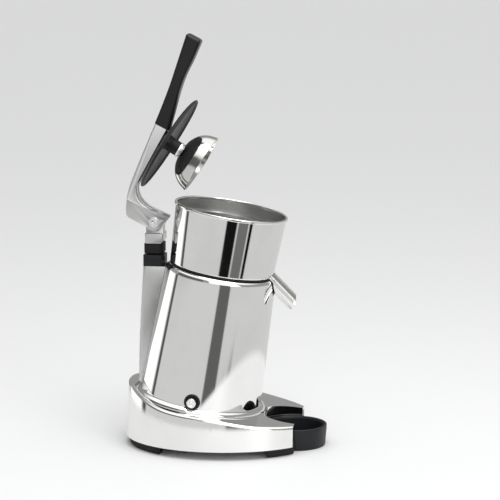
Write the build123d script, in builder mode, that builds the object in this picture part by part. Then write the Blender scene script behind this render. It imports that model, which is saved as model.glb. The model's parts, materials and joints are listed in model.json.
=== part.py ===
from build123d import *
import os
from math import cos, radians, sin

os.makedirs("parts", exist_ok=True)

# Motor-driven lever juicer. Millimetres, +Z up, +Y to the rear, spout towards -Y.
# The origin lies on the table under the middle of the machine.

# ---- driving dimensions ----
body_lean = 9.5             # the body, bowl and motor lean towards the spout, degrees
foot_y = 47.75              # where the leaning axis meets the table
closing_angle = 67.4        # travel of the press lever, degrees

seam_s = 62.0               # distances "s" are measured along the leaning axis
body_top_s = 251.0
body_low_r = 86.3
body_high_r = 77.2
body_wall = 2.0
shoulder_r = 9.0

bowl_low_s = 253.0
bowl_rim_s = 338.0
bowl_low_r = 73.3
bowl_rim_r = 78.2
bowl_wall = 1.4
bead_r = 1.9

base_bottom_z = 12.0
base_half_width = 112.0
base_rear_length = 130.0
base_front_length = 145.0
base_mid_y = foot_y - 35.0
base_draft = 5.5            # the sides lean in by this much over base_draft_height
base_draft_height = 90.0
base_wall = 4.0

tray_y = foot_y - 146.0
tray_r = 44.5
tray_height = 30.0
tray_bay_r = 47.5

pin_y = foot_y + 51.9       # hinge pin of the lever
pin_z = 314.2
post_y = foot_y + 53.5
column_top_z = 251.5
column_half_width = 16.0
post_r = 7.0
stem_r = 3.5
bush_outer_r = 9.0

disc_s = 343.7              # height of the splash disc on the axis with the lever closed
disc_r = 71.0
cup_r = 43.4
cup_depth = 54.9            # from the disc's middle to the cup's lip

screw_places = [(-62, foot_y + 50), (62, foot_y + 50), (-74, tray_y + 22), (74, tray_y + 22)]
vent_places = [(0, foot_y + 20 - 14 * row) for row in range(5)]
plate_thickness = 1.6
chimney_top_s = 268.0       # the bowl's centre tube, which keeps juice off the shaft
ledge_s = 318.0             # the strainer's ledge inside the bowl
carrier_r = 30.0            # hole in the body's top for the seal carrier
motor_screw_places = [(x, y) for x in (-32.5, 32.5) for y in (-32.5, 32.5)]
column_screw_heights = [150.0, 180.0]
column_screw_r = 2.0
column_screw_depth = 10.0
button_x = 85.6
button_y = foot_y - 13.7
button_z = 75.4
button_hole_r = 10.0
bezel_r = 11.3
shaft_r = 6.0
drive_tip_r = 5.0
drive_tip_s = 291.0
drive_flat_x = 3.8
cord_x = 46.0
cord_z = 34.0
gland_y = base_mid_y + 123.0
gland_r = 7.5
cord_hole_r = 3.6

# ---- reference planes and small helpers ----
lean = radians(body_lean)
up_axis = Vector(0, -sin(lean), cos(lean))
axis_foot = Vector(0, foot_y, 0)
body_axis = Axis(axis_foot, up_axis)
# section through the leaning axis: x is the radius, y is the distance s
section = Plane(origin=axis_foot, x_dir=(1, 0, 0), z_dir=(0, -cos(lean), -sin(lean)))


def across(s):
    """Plane square to the leaning axis at distance s; its +y points to the rear."""
    return Plane(origin=axis_foot + up_axis * s, x_dir=(1, 0, 0), z_dir=up_axis)


def body_radius(s):
    """Outer radius of the body's cone at distance s."""
    share = (s - seam_s) / (body_top_s - seam_s)
    return body_low_r + (body_high_r - body_low_r) * share


def save(part, name):
    part.label = name
    export_step(part, "parts/" + name + ".step")


# side views: x is +Y and y is +Z, with the pin as the zero point
side = Plane(origin=(0, pin_y, pin_z), x_dir=(0, 1, 0), z_dir=(1, 0, 0))


def opened(y, z):
    """A side-view point given with the lever closed, turned back to the open position."""
    turn = radians(closing_angle)
    return (y * cos(turn) + z * sin(turn), z * cos(turn) - y * sin(turn))


head_y, head_z = opened(foot_y - disc_s * sin(lean) - pin_y, disc_s * cos(lean) - pin_z)
head_dir = Vector(0, *opened(sin(lean), -cos(lean)))
head_origin = Vector(0, pin_y + head_y, pin_z + head_z)
head_axis = Axis(head_origin, head_dir)
head_section = Plane(
    origin=head_origin, x_dir=(1, 0, 0), z_dir=(0, -head_dir.Z, head_dir.Y)
)


def head_across(distance):
    """Plane square to the press head's axis, measured from the disc's middle to the cup."""
    return Plane(origin=head_origin + head_dir * distance, x_dir=(1, 0, 0), z_dir=head_dir)


# ---- base: a hollow casting with two horns round the tray ----
horn_end_y = tray_y - 5.0


def base_outline(inset):
    """Egg-shaped plan of the base, drawn smaller by the inset and cut off at the horns' ends."""
    width = base_half_width - inset
    with BuildSketch(mode=Mode.PRIVATE) as plan:
        with BuildLine():
            EllipticalCenterArc((0, base_mid_y), width, base_rear_length - inset, start_angle=0, arc_size=180)
            EllipticalCenterArc((0, base_mid_y), width, base_front_length - inset, start_angle=180, arc_size=180)
        make_face()
        with Locations((0, horn_end_y)):
            Rectangle(300, 200, align=(Align.CENTER, Align.MAX), mode=Mode.SUBTRACT)
    return plan.sketch


seat_depth = 0.6            # the body sits this deep in the base's top
collar_top_z = 90.0
horn_end_z = 41.0
collar_width = 7.0          # concave collar of the base round the body's foot
collar_height = 6.5


def seam_height(y):
    """Height of the seam plane between body and base at a given Y."""
    return (seam_s + (y - foot_y) * sin(lean)) / cos(lean)


def deck_point(from_foot, lower):
    """Point of the base's top surface, just above the seam plane."""
    y = foot_y + from_foot
    return (y, seam_height(y) + seat_depth - lower)


def over_deck(lower):
    """Side-view region above the base's top surface, moved down by the given amount."""
    with BuildSketch(Plane.YZ.offset(-150), mode=Mode.PRIVATE) as region:
        with BuildLine():
            top = Spline(
                (foot_y - 200, horn_end_z - 7 - lower),
                (tray_y, horn_end_z - lower),
                deck_point(-95, lower),
                deck_point(-25, lower),
                deck_point(45, lower),
                (foot_y + 84, collar_top_z - lower),
                (foot_y + 130, collar_top_z + 4 - lower),
            )
            Polyline(top @ 1, (foot_y + 130, 200), (foot_y - 200, 200), top @ 0)
        make_face()
    return region.sketch


def base_block(inset, lower, bay_r):
    """Outer or inner form of the base, with the tray bay cut out of it."""
    with BuildPart(mode=Mode.PRIVATE) as block:
        with BuildSketch(Plane.XY.offset(base_bottom_z)):
            add(base_outline(inset))
        with BuildSketch(Plane.XY.offset(base_bottom_z + base_draft_height)):
            add(base_outline(base_draft + inset))
        loft()
        extrude(over_deck(lower), amount=300, mode=Mode.SUBTRACT)
        with BuildSketch(Plane.XY):
            with Locations((0, tray_y)):
                Circle(bay_r)
        extrude(amount=100, mode=Mode.SUBTRACT)
    return block.part


def turned(*points, mode=Mode.ADD):
    """Ring turned about the leaning axis from its (radius, s) corners."""
    with BuildSketch(section, mode=Mode.PRIVATE) as profile:
        with BuildLine():
            Polyline(*points, close=True)
        make_face()
    revolve(profile.sketch, axis=body_axis, mode=mode)


def head_turned(*points, mode=Mode.ADD):
    """Ring turned about the press head's axis from its (radius, distance) corners."""
    with BuildSketch(head_section, mode=Mode.PRIVATE) as profile:
        with BuildLine():
            Polyline(*points, close=True)
        make_face()
    revolve(profile.sketch, axis=head_axis, mode=mode)


def side_block(points, half_width, mode=Mode.ADD):
    """Block of a given half width whose side view has corners (y from the pin, z from the pin)."""
    with BuildSketch(side, mode=Mode.PRIVATE) as profile:
        with BuildLine():
            Polyline(*points, close=True)
        make_face()
    extrude(profile.sketch, amount=half_width, both=True, mode=mode)


column_gap = 0.3
with BuildPart() as body_space:
    turned(
        (0, seam_s),
        (body_low_r + column_gap, seam_s),
        (body_high_r + column_gap, body_top_s),
        (0, body_top_s),
    )

# rear column, a hollow fin that widens upwards because the body leans away from it
column_foot_z = 84.0


def column_profile():
    """Side view of the column, with its gently bowed rear edge."""
    with BuildSketch(Plane.YZ, mode=Mode.PRIVATE) as profile:
        with BuildLine():
            ThreePointArc(
                (foot_y + 74.9, column_foot_z),
                (foot_y + 73.0, 165),
                (foot_y + 67.7, column_top_z),
            )
            Polyline(
                (foot_y + 67.7, column_top_z),
                (foot_y + 35.7, column_top_z),
                (foot_y + 30, column_foot_z),
                (foot_y + 74.9, column_foot_z),
            )
        make_face()
    return profile.sketch


spring_ledge_z = 206.0
ledge_thickness = 3.5
with BuildPart() as column_housing:
    extrude(column_profile(), amount=column_half_width, both=True)
    rear_edges = column_housing.edges().filter_by(
        lambda e: e.length > 100 and e.center().Y > foot_y + 60
    )
    fillet(rear_edges, 3.5)
    add(body_space.part, mode=Mode.SUBTRACT)
    with BuildSketch(Plane.YZ):
        with BuildLine():
            Polyline(
                (foot_y + 43.4, column_top_z - 6),
                (foot_y + 64.3, column_top_z - 6),
                (foot_y + 67.4, spring_ledge_z),
                (foot_y + 47.0, spring_ledge_z),
                close=True,
            )
        make_face()
    extrude(amount=column_half_width - 3, both=True, mode=Mode.SUBTRACT)
    with BuildSketch(Plane.YZ):
        with BuildLine():
            Polyline(
                (foot_y + 47.5, spring_ledge_z - ledge_thickness),
                (foot_y + 67.6, spring_ledge_z - ledge_thickness),
                (foot_y + 69.4, 160),
                (foot_y + 56.8, 160),
                close=True,
            )
        make_face()
    extrude(amount=column_half_width - 3, both=True, mode=Mode.SUBTRACT)
    with BuildSketch(Plane.XZ.offset(-foot_y)):
        with Locations(*[(0, z) for z in column_screw_heights]):
            Circle(column_screw_r)
    extrude(amount=-68, mode=Mode.SUBTRACT)
    with Locations((0, post_y, column_top_z)):
        Hole(bush_outer_r, depth=6)
    with Locations((0, post_y, spring_ledge_z)):
        Hole(4.2, depth=ledge_thickness)
save(column_housing.part, "column_housing")

with BuildPart() as base_casting:
    add(base_block(0, 0, tray_bay_r))
    rim_edges = base_casting.edges().filter_by(
        lambda e: e.length > 90 and e.center().Z > base_bottom_z + 15 and e.bounding_box().size.X > 12
    )
    rim_edges = rim_edges.filter_by(lambda e: abs(e.center().X) > 60 or e.center().Y > foot_y)
    fillet(rim_edges, 4.5)
    add(base_block(base_wall, base_wall, tray_bay_r + base_wall), mode=Mode.SUBTRACT)
    with BuildSketch(across(seam_s - 30)):
        Circle(79)
    extrude(amount=80, mode=Mode.SUBTRACT)
    with BuildSketch(section):
        with BuildLine():
            collar_low = seam_s - 1.0
            collar_high = seam_s + collar_height
            foot = Line((body_low_r - 2, collar_low), (body_low_r + collar_width, collar_low))
            toe = Line(foot @ 1, (body_low_r + collar_width, seam_s + seat_depth + 0.2))
            flare = RadiusArc(toe @ 1, (body_low_r + 0.7, collar_high), -collar_width)
            Polyline(flare @ 1, (body_low_r - 2, collar_high), foot @ 0)
        make_face()
    revolve(axis=body_axis)
    add(body_space.part, mode=Mode.SUBTRACT)
    with BuildSketch(Plane.YZ.offset(-120)):
        with Locations((button_y, button_z)):
            Circle(bezel_r + 0.3)
    extrude(amount=60, mode=Mode.SUBTRACT)
    extrude(column_profile(), amount=column_half_width + 0.1, both=True, mode=Mode.SUBTRACT)
    with BuildSketch(Plane.XY.offset(base_bottom_z)):
        with Locations(*screw_places):
            Circle(6)
    extrude(until=Until.NEXT)
    with Locations(*[(x, y, base_bottom_z) for x, y in screw_places]):
        Hole(2.2, depth=14)
    with BuildSketch(Plane.XZ.offset(-(gland_y - 20))):
        with Locations((cord_x, cord_z)):
            Circle(gland_r)
    extrude(amount=-40, mode=Mode.SUBTRACT)
save(base_casting.part, "base_casting")

# ---- bottom plate, feet and their screws ----
with BuildPart() as bottom_plate:
    with BuildSketch(Plane.XY.offset(base_bottom_z)):
        add(base_outline(base_wall + 0.7))
        with Locations((0, tray_y)):
            Circle(tray_bay_r + base_wall + 0.4, mode=Mode.SUBTRACT)
        with Locations(*screw_places):
            Circle(6.2, mode=Mode.SUBTRACT)
    extrude(amount=plate_thickness)
    with BuildSketch(Plane.XY.offset(base_bottom_z)):
        with Locations(*vent_places):
            SlotOverall(34, 5)
    extrude(amount=plate_thickness, mode=Mode.SUBTRACT)
save(bottom_plate.part, "bottom_plate")

foot_inset = 5.5
foot_width = 19.0
with BuildPart() as rubber_feet:
    with BuildSketch(Plane.XY):
        add(base_outline(foot_inset))
        add(base_outline(foot_inset + foot_width), mode=Mode.SUBTRACT)
        with Locations((0, base_mid_y - 8)):
            Rectangle(260, 148, mode=Mode.SUBTRACT)
        with Locations((0, tray_y)):
            Circle(tray_bay_r + 1.5, mode=Mode.SUBTRACT)
    extrude(amount=base_bottom_z)
    chamfer(rubber_feet.faces().filter_by(Axis.Z).sort_by(Axis.Z)[:3].edges(), 1.5)
    with Locations(*[(x, y, 0) for x, y in screw_places]):
        CounterBoreHole(2.6, 4.6, 6, depth=base_bottom_z)
save(rubber_feet.part, "rubber_feet")

with BuildPart() as foot_screws:
    with BuildSketch(Plane.XY.offset(2.5)):
        with Locations(*screw_places):
            Circle(4.2)
    extrude(amount=3.5)
    with BuildSketch(Plane.XY.offset(6)):
        with Locations(*screw_places):
            Circle(2.15)
    extrude(amount=18)
    with BuildSketch(Plane.XY.offset(2.5)):
        with Locations(*screw_places):
            RegularPolygon(1.8, 6)
    extrude(amount=2, mode=Mode.SUBTRACT)
save(foot_screws.part, "foot_screws")

with BuildPart() as cable_gland:
    with BuildSketch(Plane.XZ.offset(-gland_y)):
        with Locations((cord_x, cord_z)):
            Circle(gland_r)
            Circle(cord_hole_r, mode=Mode.SUBTRACT)
    extrude(amount=22)
    with BuildSketch(Plane.XZ.offset(-(gland_y - 4))):
        with Locations((cord_x, cord_z)):
            Circle(gland_r + 2.5)
            Circle(cord_hole_r, mode=Mode.SUBTRACT)
    extrude(amount=-7)
    add(base_casting.part, mode=Mode.SUBTRACT)
save(cable_gland.part, "cable_gland")

# ---- drip tray, a round cup that stands between the horns ----
with BuildPart() as drip_tray:
    with BuildSketch(Plane.XZ.offset(-tray_y)):
        with BuildLine():
            Polyline(
                (0, 2.5),
                (36, 2.5),
                (37, 0),
                (41, 0),
                (42.6, 2),
                (tray_r, 24),
                (tray_r, tray_height),
                (tray_r - 3, tray_height),
                (tray_r - 4.2, tray_height - 3),
                (tray_r - 4.8, 7),
                (tray_r - 6.5, 5.2),
                (0, 5.2),
                close=True,
            )
        make_face()
    revolve(axis=Axis((0, tray_y, 0), (0, 0, 1)))
save(drip_tray.part, "drip_tray")

# ---- spout, bowl and strainer ----
spout_half_width = 14.0
spout_depth = 18.0
spout_wall = 1.4
spout_end_y = foot_y - 145.0
spout_line = Vector(0, -cos(radians(45)), -sin(radians(45)))
spout_start = Vector(0, foot_y - 118 + 45, 238 + 45)


def channel(half_width, depth, rise):
    """Round-bottomed channel section square to the spout, open above the spout's top line."""
    across_spout = Plane(origin=spout_start, x_dir=(1, 0, 0), z_dir=spout_line)
    with BuildSketch(across_spout, mode=Mode.PRIVATE) as profile:
        with Locations((0, half_width - depth)):
            Circle(half_width)
            Rectangle(2 * half_width, 60, align=(Align.CENTER, Align.MIN))
        with Locations((0, rise)):
            Rectangle(4 * half_width, 80, align=(Align.CENTER, Align.MIN), mode=Mode.SUBTRACT)
    return profile.sketch


def channel_bar(half_width, depth, rise):
    """Long solid bar with the channel's section, running down the spout's line."""
    return extrude(channel(half_width, depth, rise), amount=110, dir=spout_line)


with BuildPart() as bowl_form:
    turned((0, bowl_low_s), (bowl_low_r, bowl_low_s), (bowl_rim_r + 1, bowl_rim_s), (0, bowl_rim_s))

with BuildPart() as bowl:
    with BuildSketch(section):
        with BuildLine():
            Polyline(
                (14.5, bowl_low_s),
                (bowl_low_r, bowl_low_s),
                (bowl_rim_r + 0.9, bowl_rim_s - bead_r),
                (bowl_rim_r - 0.5, bowl_rim_s - bead_r),
                (bowl_low_r - bowl_wall, bowl_low_s + bowl_wall),
                (16, bowl_low_s + bowl_wall),
                (16, chimney_top_s),
                (14.5, chimney_top_s),
                close=True,
            )
        make_face()
        with Locations((bowl_rim_r - 0.1, bowl_rim_s - bead_r)):
            Circle(bead_r)
    revolve(axis=body_axis)
    with BuildSketch(across(bowl_low_s)):
        with Locations((0, -60.5)):
            SlotOverall(22, 16)
    extrude(amount=bowl_wall, mode=Mode.SUBTRACT)
save(bowl.part, "bowl")

with BuildPart() as spout:
    add(channel_bar(spout_half_width, spout_depth, 0))
    add(channel_bar(spout_half_width - spout_wall, spout_depth - spout_wall, 5), mode=Mode.SUBTRACT)
    with Locations(Plane(spout_start, x_dir=(1, 0, 0), z_dir=spout_line)):
        with Locations((-spout_half_width, -1), (spout_half_width, -1)):
            Cylinder(1.4, 110, align=(Align.CENTER, Align.CENTER, Align.MIN))
    with Locations((0, spout_end_y, 200)):
        Box(60, 60, 80, align=(Align.CENTER, Align.MAX, Align.CENTER), mode=Mode.SUBTRACT)
    add(bowl_form.part, mode=Mode.SUBTRACT)
    with BuildSketch(across(bowl_low_s)):
        Circle(bowl_low_r)
    extrude(amount=60, mode=Mode.SUBTRACT)
    add(bowl.part, mode=Mode.SUBTRACT)
save(spout.part, "spout")

with BuildPart() as strainer:
    turned(
        (18.5, 262),
        (58, 262),
        (66, ledge_s - 1),
        (75.2, ledge_s - 1),
        (75.2, ledge_s),
        (65.1, ledge_s),
        (57.2, 263),
        (18.5, 263),
    )
    turned((56.8, 254.8), (58, 254.8), (58, 262.2), (56.8, 262.2))
    with BuildSketch(across(262)):
        for ring in range(5):
            with PolarLocations(25 + 6.8 * ring, 16 + 6 * ring):
                Circle(1.5)
    extrude(amount=1, mode=Mode.SUBTRACT)
    with BuildSketch(across(272)):
        with PolarLocations(61, 32):
            Rectangle(14, 2)
    extrude(amount=36, mode=Mode.SUBTRACT)
save(strainer.part, "strainer")

# ---- reamer: a ribbed cone on the motor's shaft ----
rib_count = 8
with BuildPart(mode=Mode.PRIVATE) as reamer_rib:
    with BuildSketch(section):
        with BuildLine():
            Spline((30.5, 268.5), (27.5, 282.5), (19.5, 296), (8.5, 306.5), (0, 310.5))
            Polyline((0, 310.5), (0, 268.5), (30.5, 268.5))
        make_face()
    extrude(amount=1.4, both=True)

with BuildPart() as reamer:
    with BuildSketch(section):
        with BuildLine():
            Spline((25, 268.5), (21.5, 282), (14.5, 294.5), (6, 303.5), (0, 306.5))
            Polyline((0, 306.5), (0, 268.5), (25, 268.5))
        make_face()
    revolve(axis=body_axis)
    for rib in range(rib_count):
        add(reamer_rib.part.rotate(body_axis, 360 / rib_count * rib))
    turned((0, 265), (31, 265), (32, 266), (32, 268), (30.5, 269.5), (0, 269.5))
    turned((0, 265), (18, 265), (18, 273), (14, 277), (0, 277), mode=Mode.SUBTRACT)
    turned((0, 265), (9, 265), (9, drive_tip_s + 3), (0, drive_tip_s + 3))
    with BuildSketch(across(265)):
        Circle(drive_tip_r + 0.05)
        with Locations((drive_flat_x + 0.05, 0)):
            Rectangle(20, 20, align=(Align.MIN, Align.CENTER), mode=Mode.SUBTRACT)
    extrude(amount=drive_tip_s - 265 + 0.5, mode=Mode.SUBTRACT)
save(reamer.part, "reamer")

# ---- body: leaning cone with a rounded shoulder and a notch for the spout ----
notch_margin = 3.2
with BuildPart() as spout_notch:
    add(channel_bar(spout_half_width + notch_margin, spout_depth + notch_margin, 40))

with BuildPart() as body_solid:
    with BuildSketch(section):
        with BuildLine():
            outline = Polyline(
                (0, body_top_s),
                (body_high_r, body_top_s),
                (body_low_r, seam_s),
                (0, seam_s),
                close=True,
            )
        make_face()
        fillet(outline.vertices().sort_by_distance((body_high_r, body_top_s, 0))[0], shoulder_r)
    revolve(axis=body_axis)

with BuildPart() as body_housing:
    add(body_solid.part)
    with BuildSketch(section):
        with BuildLine():
            inner = Polyline(
                (0, body_top_s - body_wall),
                (body_high_r - body_wall, body_top_s - body_wall),
                (body_low_r - body_wall, seam_s),
                (0, seam_s),
                close=True,
            )
        make_face()
        fillet(
            inner.vertices().sort_by_distance((body_high_r, body_top_s, 0))[0],
            shoulder_r - body_wall,
        )
    revolve(axis=body_axis, mode=Mode.SUBTRACT)
    with BuildSketch(across(body_top_s)):
        Circle(carrier_r)
        with Locations(*motor_screw_places):
            Circle(2.7)
    extrude(amount=-body_wall, mode=Mode.SUBTRACT)
    add(spout_notch.part, mode=Mode.SUBTRACT)
    with BuildSketch(Plane.YZ.offset(-120)):
        with Locations((button_y, button_z)):
            Circle(button_hole_r)
    extrude(amount=60, mode=Mode.SUBTRACT)
    with BuildSketch(Plane.XZ.offset(-foot_y)):
        with Locations(*[(0, z) for z in column_screw_heights]):
            Circle(2.2)
    extrude(amount=-100, mode=Mode.SUBTRACT)
save(body_housing.part, "body_housing")

with BuildPart() as spout_cradle:
    add(spout_notch.part)
    add(
        channel_bar(spout_half_width + 1.2, spout_depth + 1.2, 50),
        mode=Mode.SUBTRACT,
    )
    add(body_solid.part, mode=Mode.INTERSECT)
save(spout_cradle.part, "spout_cradle")

with BuildPart() as bowl_gasket:
    turned((64, body_top_s), (73, body_top_s), (73, bowl_low_s), (64, bowl_low_s))
    add(
        channel_bar(spout_half_width + notch_margin + 0.3, spout_depth + notch_margin + 0.3, 40),
        mode=Mode.SUBTRACT,
    )
save(bowl_gasket.part, "bowl_gasket")

with BuildPart() as seal_carrier:
    turned(
        (7, 243),
        (37, 243),
        (37, body_top_s - body_wall),
        (carrier_r - 0.1, body_top_s - body_wall),
        (carrier_r - 0.1, body_top_s),
        (13, body_top_s),
        (13, 263),
        (10, 263),
        (10, 255),
        (7, 255),
    )
save(seal_carrier.part, "seal_carrier")

with BuildPart() as shaft_seal:
    turned((shaft_r + 0.06, 255.5), (7.5, 255.5), (7.5, 255), (10, 255), (10, 262), (8.5, 262), (shaft_r + 0.06, 258))
save(shaft_seal.part, "shaft_seal")

# ---- motor: hangs from the body's top on the posts of its upper bracket ----
with BuildPart() as upper_bracket:
    turned((16, 202), (50, 202), (50, 178), (54, 178), (54, 206), (20, 212), (20, 214), (16, 214))
    with BuildSketch(across(203)):
        with Locations(*motor_screw_places):
            Circle(5)
    extrude(amount=body_top_s - body_wall - 203)
    with BuildSketch(across(body_top_s - body_wall)):
        with Locations(*motor_screw_places):
            Circle(2.1)
    extrude(amount=-16, mode=Mode.SUBTRACT)
save(upper_bracket.part, "upper_bracket")

with BuildPart() as lower_bracket:
    turned((16, 92), (20, 92), (20, 94), (54, 100), (54, 128), (50, 128), (50, 104), (16, 104))
save(lower_bracket.part, "lower_bracket")

with BuildPart() as motor_stator:
    turned((27.6, 128), (54, 128), (54, 178), (27.6, 178))
    with BuildSketch(across(128)):
        with PolarLocations(35, 18):
            Rectangle(12, 2.4)
    extrude(amount=50, mode=Mode.SUBTRACT)
save(motor_stator.part, "motor_stator")

with BuildPart() as motor_windings:
    for start_s in (111, 178.5):
        with BuildSketch(section):
            with Locations((38.5, start_s + 8.2)):
                RectangleRounded(14, 16.4, 5)
        revolve(axis=body_axis)
save(motor_windings.part, "motor_windings")

with BuildPart() as motor_rotor:
    turned((shaft_r, 126), (27.2, 126), (27.2, 180), (shaft_r, 180))
save(motor_rotor.part, "motor_rotor")

with BuildPart() as motor_shaft:
    turned(
        (0, 72),
        (shaft_r, 72),
        (shaft_r, 262),
        (drive_tip_r, 264),
        (drive_tip_r, drive_tip_s - 1),
        (drive_tip_r - 0.8, drive_tip_s),
        (0, drive_tip_s),
    )
    with BuildSketch(across(264)):
        with Locations((drive_flat_x, 0)):
            Rectangle(20, 20, align=(Align.MIN, Align.CENTER))
    extrude(amount=40, mode=Mode.SUBTRACT)
save(motor_shaft.part, "motor_shaft")

with BuildPart() as cooling_fan:
    turned((shaft_r, 74), (12, 74), (12, 84), (40, 84), (40, 86), (shaft_r, 86))
    with BuildSketch(across(75)):
        with PolarLocations(25, 9):
            Rectangle(27, 1.8)
    extrude(amount=9)
save(cooling_fan.part, "cooling_fan")

for name, low_s in (("upper_bearing", 203), ("lower_bearing", 93)):
    with BuildPart() as bearing:
        turned((shaft_r + 0.05, low_s), (16, low_s), (16, low_s + 10), (shaft_r + 0.05, low_s + 10))
    save(bearing.part, name)

with BuildPart() as motor_screws:
    with BuildSketch(across(body_top_s)):
        with Locations(*motor_screw_places):
            Circle(4.5)
    extrude(amount=1.6)
    with BuildSketch(across(body_top_s)):
        with Locations(*motor_screw_places):
            Circle(2.05)
    extrude(amount=-15)
save(motor_screws.part, "motor_screws")

# ---- electrics in the base and the power button ----
with BuildPart() as run_capacitor:
    with BuildSketch(Plane.XZ.offset(-(foot_y - 22))):
        with Locations((48, 33)):
            Circle(15)
    extrude(amount=-56)
    fillet(run_capacitor.edges().filter_by(GeomType.CIRCLE), 2)
save(run_capacitor.part, "run_capacitor")

plate_top_z = base_bottom_z + plate_thickness
with BuildPart() as capacitor_clip:
    with BuildSketch(Plane.XZ.offset(-foot_y)):
        with Locations((48, 33)):
            Circle(16.6)
        with Locations((48, plate_top_z)):
            Rectangle(46, 3.4, align=(Align.CENTER, Align.MIN))
        with Locations((48, 33)):
            Circle(15, mode=Mode.SUBTRACT)
    extrude(amount=-12)
save(capacitor_clip.part, "capacitor_clip")

with BuildPart() as terminal_block:
    with BuildSketch(Plane.XY.offset(plate_top_z)):
        with Locations((-44, foot_y + 30)):
            Rectangle(20, 48)
    extrude(amount=17)
    with BuildSketch(Plane.XY.offset(plate_top_z + 17)):
        with Locations((-44, foot_y + 30)):
            with GridLocations(10, 9, 2, 5):
                Circle(2.6)
    extrude(amount=-6, mode=Mode.SUBTRACT)
save(terminal_block.part, "terminal_block")

with BuildPart() as button_bezel:
    with BuildSketch(Plane.YZ.offset(-button_x - 2)):
        with Locations((button_y, button_z)):
            Circle(bezel_r)
            Circle(7.7, mode=Mode.SUBTRACT)
    extrude(amount=1.3)
    with BuildSketch(Plane.YZ.offset(-button_x - 1)):
        with Locations((button_y, button_z)):
            Circle(button_hole_r - 0.1)
            Circle(7.7, mode=Mode.SUBTRACT)
    extrude(amount=16)
save(button_bezel.part, "button_bezel")

with BuildPart() as button_nut:
    with BuildSketch(Plane.YZ.offset(-button_x + 6)):
        with Locations((button_y, button_z)):
            RegularPolygon(13.5, 6)
            Circle(button_hole_r - 0.1, mode=Mode.SUBTRACT)
    extrude(amount=4)
save(button_nut.part, "button_nut")

with BuildPart() as button_plunger:
    with BuildSketch(Plane.YZ.offset(-button_x - 7.4)):
        with Locations((button_y, button_z)):
            Circle(7.2)
    extrude(amount=16)
    with BuildSketch(Plane.YZ.offset(-button_x + 8)):
        with Locations((button_y, button_z)):
            Circle(2.5)
    extrude(amount=13)
save(button_plunger.part, "button_plunger")

with BuildPart() as button_face:
    with BuildSketch(Plane.YZ.offset(-button_x - 8.4)):
        with Locations((button_y, button_z)):
            Circle(6.5)
    extrude(amount=1)
    fillet(button_face.faces().sort_by(Axis.X)[0].edges(), 0.5)
save(button_face.part, "button_face")

with BuildPart() as button_switch:
    with BuildSketch(Plane.YZ.offset(-button_x + 16)):
        with Locations((button_y, button_z)):
            Rectangle(19, 19)
    extrude(amount=20)
    with BuildSketch(Plane.YZ.offset(-button_x + 16)):
        with Locations((button_y, button_z)):
            Circle(2.8)
    extrude(amount=9, mode=Mode.SUBTRACT)
save(button_switch.part, "button_switch")

# ---- column top: bush, cap, boot, sprung post and its switch ----
head_foot_z = 284.0
with BuildPart() as guide_bush:
    with BuildSketch(Plane.XY.offset(column_top_z - 6)):
        with Locations((0, post_y)):
            Circle(bush_outer_r)
            Circle(post_r + 0.06, mode=Mode.SUBTRACT)
    extrude(amount=20)
save(guide_bush.part, "guide_bush")

cap_height = 16.0
with BuildPart() as column_cap:
    with BuildSketch(Plane.XY.offset(column_top_z)):
        with Locations((0, foot_y + 52.6)):
            Rectangle(2 * column_half_width - 1, 29.6)
    extrude(amount=cap_height)
    chamfer(column_cap.edges().filter_by(Axis.Z).group_by(Axis.Y)[0], 5)
    fillet(column_cap.edges().filter_by(Axis.Z).group_by(Axis.Y)[-1], 2)
    with Locations((0, post_y, column_top_z + cap_height)):
        Hole(post_r + 1.5, depth=cap_height)
    with BuildSketch(Plane.XY.offset(column_top_z)):
        with Locations((0, post_y)):
            Circle(bush_outer_r + 0.05)
    extrude(amount=14.2, mode=Mode.SUBTRACT)
save(column_cap.part, "column_cap")

with BuildPart() as post_boot:
    with BuildSketch(Plane.XY.offset(column_top_z + cap_height + 0.1)):
        with Locations((0, foot_y + 52.5)):
            Rectangle(22, 22)
    extrude(amount=2.6)
    with BuildSketch(Plane.XY.offset(column_top_z + cap_height + 2.6)):
        with Locations((0, foot_y + 52.6)):
            Rectangle(2 * column_half_width - 2, 26)
    extrude(amount=head_foot_z - column_top_z - cap_height - 2.7)
    chamfer(post_boot.edges().filter_by(Axis.Z).group_by(Axis.Y)[0], 5)
    with Locations((0, post_y, head_foot_z)):
        Hole(post_r + 1.2)
save(post_boot.part, "post_boot")

post_low_z = 231.0
stem_low_z = 201.0
with BuildPart() as post_rod:
    with BuildSketch(Plane.XY.offset(post_low_z)):
        with Locations((0, post_y)):
            Circle(post_r)
    extrude(amount=head_foot_z - post_low_z)
    with BuildSketch(Plane.XY.offset(stem_low_z)):
        with Locations((0, post_y)):
            Circle(stem_r)
    extrude(amount=post_low_z - stem_low_z)
    with BuildSketch(Plane.XY.offset(head_foot_z)):
        with Locations((0, post_y)):
            Circle(4.5)
    extrude(amount=9)
save(post_rod.part, "post_rod")

with BuildPart() as return_spring:
    coil = Helix(
        pitch=4.2, height=post_low_z - spring_ledge_z - 2.2, radius=4.9,
        center=(0, post_y, spring_ledge_z + 1.1),
    )
    with BuildSketch(Plane(origin=coil @ 0, z_dir=coil % 0)):
        Circle(0.8)
    sweep(path=coil, is_frenet=True)
save(return_spring.part, "return_spring")

with BuildPart() as start_switch:
    with BuildSketch(Plane.XY.offset(186)):
        with Locations((0, post_y + 5)):
            Rectangle(20, 7)
    extrude(amount=10.5)
    with BuildSketch(Plane.XY.offset(196.5)):
        with Locations((0, post_y + 3.5)):
            Circle(1.5)
    extrude(amount=1.2)
save(start_switch.part, "start_switch")

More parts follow.
